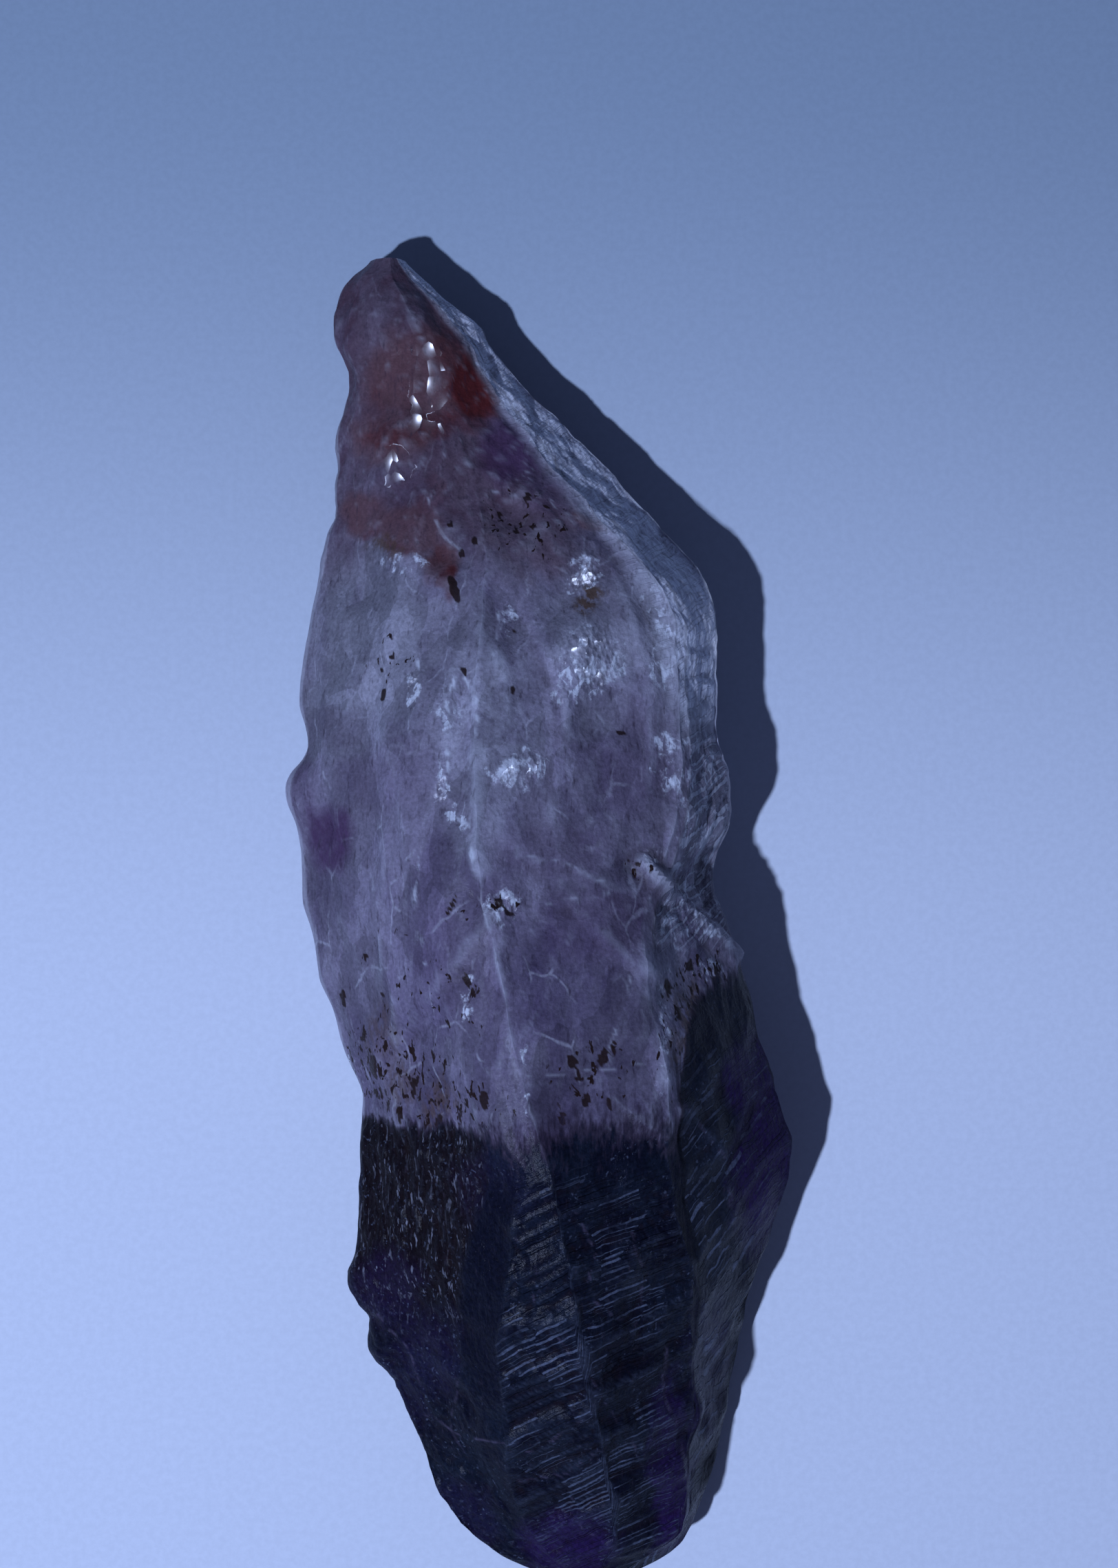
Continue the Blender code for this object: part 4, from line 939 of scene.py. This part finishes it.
def darkTipColour(place, veil, fine, striae, blocks):
    broad = noisy(place, 0.22, 3.0, 0.6, 0.4)
    dark = mixed(sharper(broad, 0.42, 0.62), stoneFinish["night"], stoneFinish["teal"])
    dark = tinted(dark, times(zone("block"), 0.8), "blockGrey")
    dark = tinted(dark, times(zone("streaks"), 0.9), "brownBlack")
    indigoShare = unevenZone("indigo", veil, 0.25, 0.55, 0.6, 1.0)
    dark = tinted(dark, indigoShare, "indigo")

    # painted highlights: lit ledges of the striae, in blocks, and loose glinting grains
    group = plus(sharper(blocks, 0.45, 0.62), times(zone("block"), 0.6))
    uneven = sharper(noisy(place, 0.40, 2.0, 0.5), 0.36, 0.60, 0.15, 1.0)
    ledgeHighlightShare = times(times(striae, zone("striae")), times(group, uneven))
    litLines = sharper(zone("block"), 0.0, 1.0, 0.80, 0.95)
    dark = tinted(dark, times(ledgeHighlightShare, litLines), "darkEdge")
    glintGrains = sharper(noisy(place, 2.6, 2.0, 0.6), 0.60, 0.70)
    glintGrainGroup = sharper(noisy(place, 0.42, 2.0, 0.5), 0.48, 0.62)
    glintGrainGroup = plus(glintGrainGroup, times(zone("leftTip"), 0.45))
    dark = tinted(dark, times(times(glintGrains, glintGrainGroup), 0.5), "darkEdge")
    fleck = noisy(stretched(place, (2.6, 0.60, 2.6)), 1.0, 2.0, 0.6)
    fleckGroup = sharper(noisy(place, 0.55, 2.0, 0.5), 0.42, 0.62, 0.2, 1.0)
    fleckGroup = times(fleckGroup, zone("streaks"))
    fleckShare = times(sharper(fleck, 0.60, 0.64), fleckGroup)
    dark = tinted(dark, times(fleckShare, 0.7), "fleck")
    # painted glints on the raised edges of the striae
    paintedEdgeGlints = times(zone("edge"), sharper(zone("striae"), 0.0, 1.0, 0.09, 0.20))
    dark = tinted(dark, paintedEdgeGlints, "darkEdge")
    dark = tinted(dark, sharper(zone("seam"), 0.1, 0.9, 0.0, 0.6), "violetGrey")
    dark = tinted(dark, times(indigoShare, 0.45), "indigo")
    dark = tinted(dark, times(zone("steep"), 0.9), "night")
    return mottled(dark, fine, 0.25, 0.75, 0.6, 1.5)


def stoneColour(place, striae, blocks):
    veil = noisy(stretched(place, (1.0, 0.6, 1.0)), 0.40, 6.0, 0.62, 1.4)
    speckle = noisy(stretched(place, (1.0, 0.5, 1.0)), 1.9, 3.0, 0.6)
    fine = noisy(place, 3.2, 4.0, 0.65)
    colour = cloudyColour(place, veil, fine)
    colour = stainedColour(colour, veil, fine, speckle)
    colour = frostSheenAndGlowColour(colour, place, speckle, striae)

    # dark specks
    crumb = noisy(stretched(place, (1.0, 0.55, 1.0)), 1.7, 2.0, 0.6, 0.4)
    speckEdge = plus(crumb, times(zone("specks"), 0.15))
    specked = sharper(zone("specks"), 0.05, 0.4)
    speckShare = times(sharper(speckEdge, 0.70, 0.75), specked)
    colour = tinted(colour, speckShare, "inclusion")
    darkSpot = sharper(zone("inclusion"), 0.25, 0.7, 0.0, 0.95)
    colour = tinted(colour, darkSpot, "inclusion")

    dark = darkTipColour(place, veil, fine, striae, blocks)
    fleckedEdge = noisy(stretched(place, (2.6, 0.7, 2.6)), 1.0, 2.0, 0.6)
    darkEdge = plus(zone("dark"), times(maths("SUBTRACT", fleckedEdge, 0.5), 1.3))
    colour = tinted(colour, sharper(darkEdge, 0.02, 0.50, 0.0, 0.8), "twilight")
    colour = mixed(sharper(darkEdge, 0.25, 0.90), colour, dark)
    # hollows are darkened, in the colour of the inclusions
    return tinted(colour, times(zone("hollow"), 0.35), "inclusion")


def stoneRoughness(place):
    fine = noisy(place, 1.4, 4.0, 0.6)
    rough = sharper(fine, 0.3, 0.7, 0.20, 0.34)
    rough = plus(rough, times(zone("frostAndSheen"), 0.25))
    rough = plus(rough, times(zone("edge"), 0.08))
    return maths("SUBTRACT", rough, times(zone("gloss"), 0.20), clamp=True)


def stoneHeight(place, striae):
    pits = noisy(place, 2.4, 5.0, 0.6)
    lengthwise = noisy(stretched(place, (3.4, 0.8, 3.4)), 1.0, 3.0, 0.6)
    facets = cells(stretched(place, (1.0, 0.7, 1.0)), 1.3).outputs["Distance"]
    height = times(pits, 0.50)
    lengthwiseShare = sharper(zone("dark"), 0.0, 1.0, 0.02, 0.30)
    height = plus(height, times(lengthwise, lengthwiseShare))
    height = plus(height, times(facets, 0.35))
    height = plus(height, times(striae, times(zone("striae"), 0.9)))
    chips = cells(stretched(place, (1.0, 0.7, 1.0)), 2.3).outputs["Distance"]
    height = plus(height, times(chips, times(zone("frostAndSheen"), 0.9)))
    return times(height, stoneFinish["bumpHeight"])


def facetNormal(place):
    # small hollow facets that all face nearly the same way, so that they glint in the main view
    squeezed = stretched(place, (1.0, 0.75, 1.0))
    facets = cells(squeezed, stoneFinish["facetsPerMm"])
    offset = vectorMaths("SUBTRACT", squeezed, facets.outputs["Position"])
    spread, hollow = stoneFinish["facetSpread"], stoneFinish["facetHollow"]
    middle = vectorMaths("SUBTRACT", facets.outputs["Color"], (0.5, 0.5, 0.5))
    strayed = vectorMaths("MULTIPLY", middle, (spread, spread, 0.0))
    curved = vectorMaths("MULTIPLY", offset, (hollow, hollow, 0.0))
    leaning = vectorMaths("ADD", strayed, stoneFinish["facetWay"])
    turned = newNode("VectorTransform")
    turned.vector_type = "NORMAL"
    turned.convert_from = "OBJECT"
    turned.convert_to = "WORLD"
    link(vectorMaths("ADD", leaning, curved), turned.inputs[0])
    return turned.outputs[0]


def bumped(height):
    # height in millimetres
    bump = newNode("Bump")
    bump.inputs["Strength"].default_value = 1.0
    bump.inputs["Distance"].default_value = mm
    link(height, bump.inputs["Height"])
    return bump.outputs["Normal"]


def amethystFinish():
    material, shader, place = newMaterial("amethyst")

    # striae run straight through each growth block and break off at its border
    bent = stretched(warped(place, 0.5, 1.6), (1.0, 0.8, 1.0))
    blocks = cells(bent, 0.24).outputs["Color"]
    stray = plus(times(noisy(place, 0.35, 3.0), 0.8), times(blocks, 5.0))
    striae = sharper(banded(plus(zone("way"), stray), 3.1, 1.5), 0.53, 0.60)
    link(stoneColour(place, striae, blocks), shader.inputs["Base Color"])
    link(stoneRoughness(place), shader.inputs["Roughness"])
    height = stoneHeight(place, striae)
    link(bumped(height), shader.inputs["Normal"])
    facetShare = sharper(zone("gloss"), *stoneFinish["facetsFrom"])
    glinting = mixed(facetShare, bumped(height), facetNormal(place))
    link(vectorMaths("NORMALIZE", glinting), shader.inputs["Coat Normal"])
    clear = maths("SUBTRACT", 1.0, zone("dark"), clamp=True)
    link(times(clear, stoneFinish["cloudDepth"]), shader.inputs["Subsurface Weight"])
    shader.inputs["Subsurface Radius"].default_value = stoneFinish["cloudColour"]
    shader.inputs["Subsurface Scale"].default_value = stoneFinish["cloudReach"]
    shader.inputs["IOR"].default_value = stoneFinish["refraction"]
    shader.inputs["Specular IOR Level"].default_value = stoneFinish["shine"]
    shader.inputs["Coat Roughness"].default_value = stoneFinish["coatRoughness"]
    link(zone("gloss"), shader.inputs["Coat Weight"])
    return material


# Paper, light and camera

paper = {
    "size": 1.6,
    "colour": (0.63, 0.69, 0.78),
    "paintedFalloffColour": (0.262, 0.348, 0.442),   # painted shade: the sheet darkens past the stone's root, standing in for the light falling off
    "falloffFrom": -15.0,                    # where the painted shade begins, in millimetres
    "falloffTo": 85.0,
    "roughness": 0.65,
}


def layPaper():
    half = paper["size"] / 2
    corners = [(-half, -half, 0), (half, -half, 0), (half, half, 0), (-half, half, 0)]
    mesh = bpy.data.meshes.new("paper")
    mesh.from_pydata(corners, [], [(0, 1, 2, 3)])
    sheet = inScene("paper", mesh)
    material, shader, place = newMaterial("paper")
    fibres = sharper(noisy(place, 1.6, 5.0, 0.65), 0.3, 0.7, 0.965, 1.035)
    split = newNode("SeparateXYZ")
    link(place, split.inputs[0])
    # painted shade: the paper darkens towards the far end, as if the light fell off there
    lightFalloff = sharper(split.outputs["Y"], paper["falloffFrom"], paper["falloffTo"])
    toneWithFalloff = mixed(lightFalloff, paper["colour"], paper["paintedFalloffColour"])
    link(mixed(1.0, toneWithFalloff, fibres, "MULTIPLY"), shader.inputs["Base Color"])
    shader.inputs["Roughness"].default_value = paper["roughness"]
    mesh.materials.append(material)


studio = {
    "keyFrom": (-0.35, -0.26, 1.0),       # direction from the stone to the key light
    "keyDistance": 0.52,
    "aimHeight": 0.015,                   # the light is aimed this far above the paper
    "keySize": 0.016,
    "keyPower": 2.75,
    "keyColour": (0.55, 0.66, 1.0),
    "fillColour": (0.39, 0.49, 1.0),
    "fillStrength": 0.12,
}


def lightStudio():
    aim = Vector((0.0, 0.0, studio["aimHeight"]))
    direction = Vector(studio["keyFrom"]).normalized()
    lamp = bpy.data.lights.new("key", "AREA")
    lamp.shape = "DISK"
    lamp.size = studio["keySize"]
    lamp.energy = studio["keyPower"]
    lamp.color = studio["keyColour"]
    key = inScene("key", lamp)
    key.location = aim + direction * studio["keyDistance"]
    key.rotation_euler = (-direction).to_track_quat("-Z", "Y").to_euler()
    world = bpy.data.worlds.new("studio")
    bpy.context.scene.world = world
    world.use_nodes = True
    background = world.node_tree.nodes["Background"]
    background.inputs["Color"].default_value = (*studio["fillColour"], 1.0)
    background.inputs["Strength"].default_value = studio["fillStrength"]
    bpy.context.scene.view_settings.view_transform = "Standard"


# straight above the stone, which lies a little below the middle of the picture
cameraSetup = {"x": 1.66, "y": 11.73, "height": 307.8, "lens": 79.0, "sensor": 36.0}


def placeCamera():
    data = bpy.data.cameras.new("camera")
    data.sensor_width = cameraSetup["sensor"]
    data.lens = cameraSetup["lens"]
    data.clip_start = 0.01
    camera = inScene("camera", data)
    camera.location = Vector((cameraSetup["x"], cameraSetup["y"], cameraSetup["height"])) * mm
    bpy.context.scene.camera = camera


stone = growStone()
stone.data.materials.append(amethystFinish())
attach(stone, "root")
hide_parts("amethyst_point")
layPaper()
lightStudio()
placeCamera()
print("scene ready")
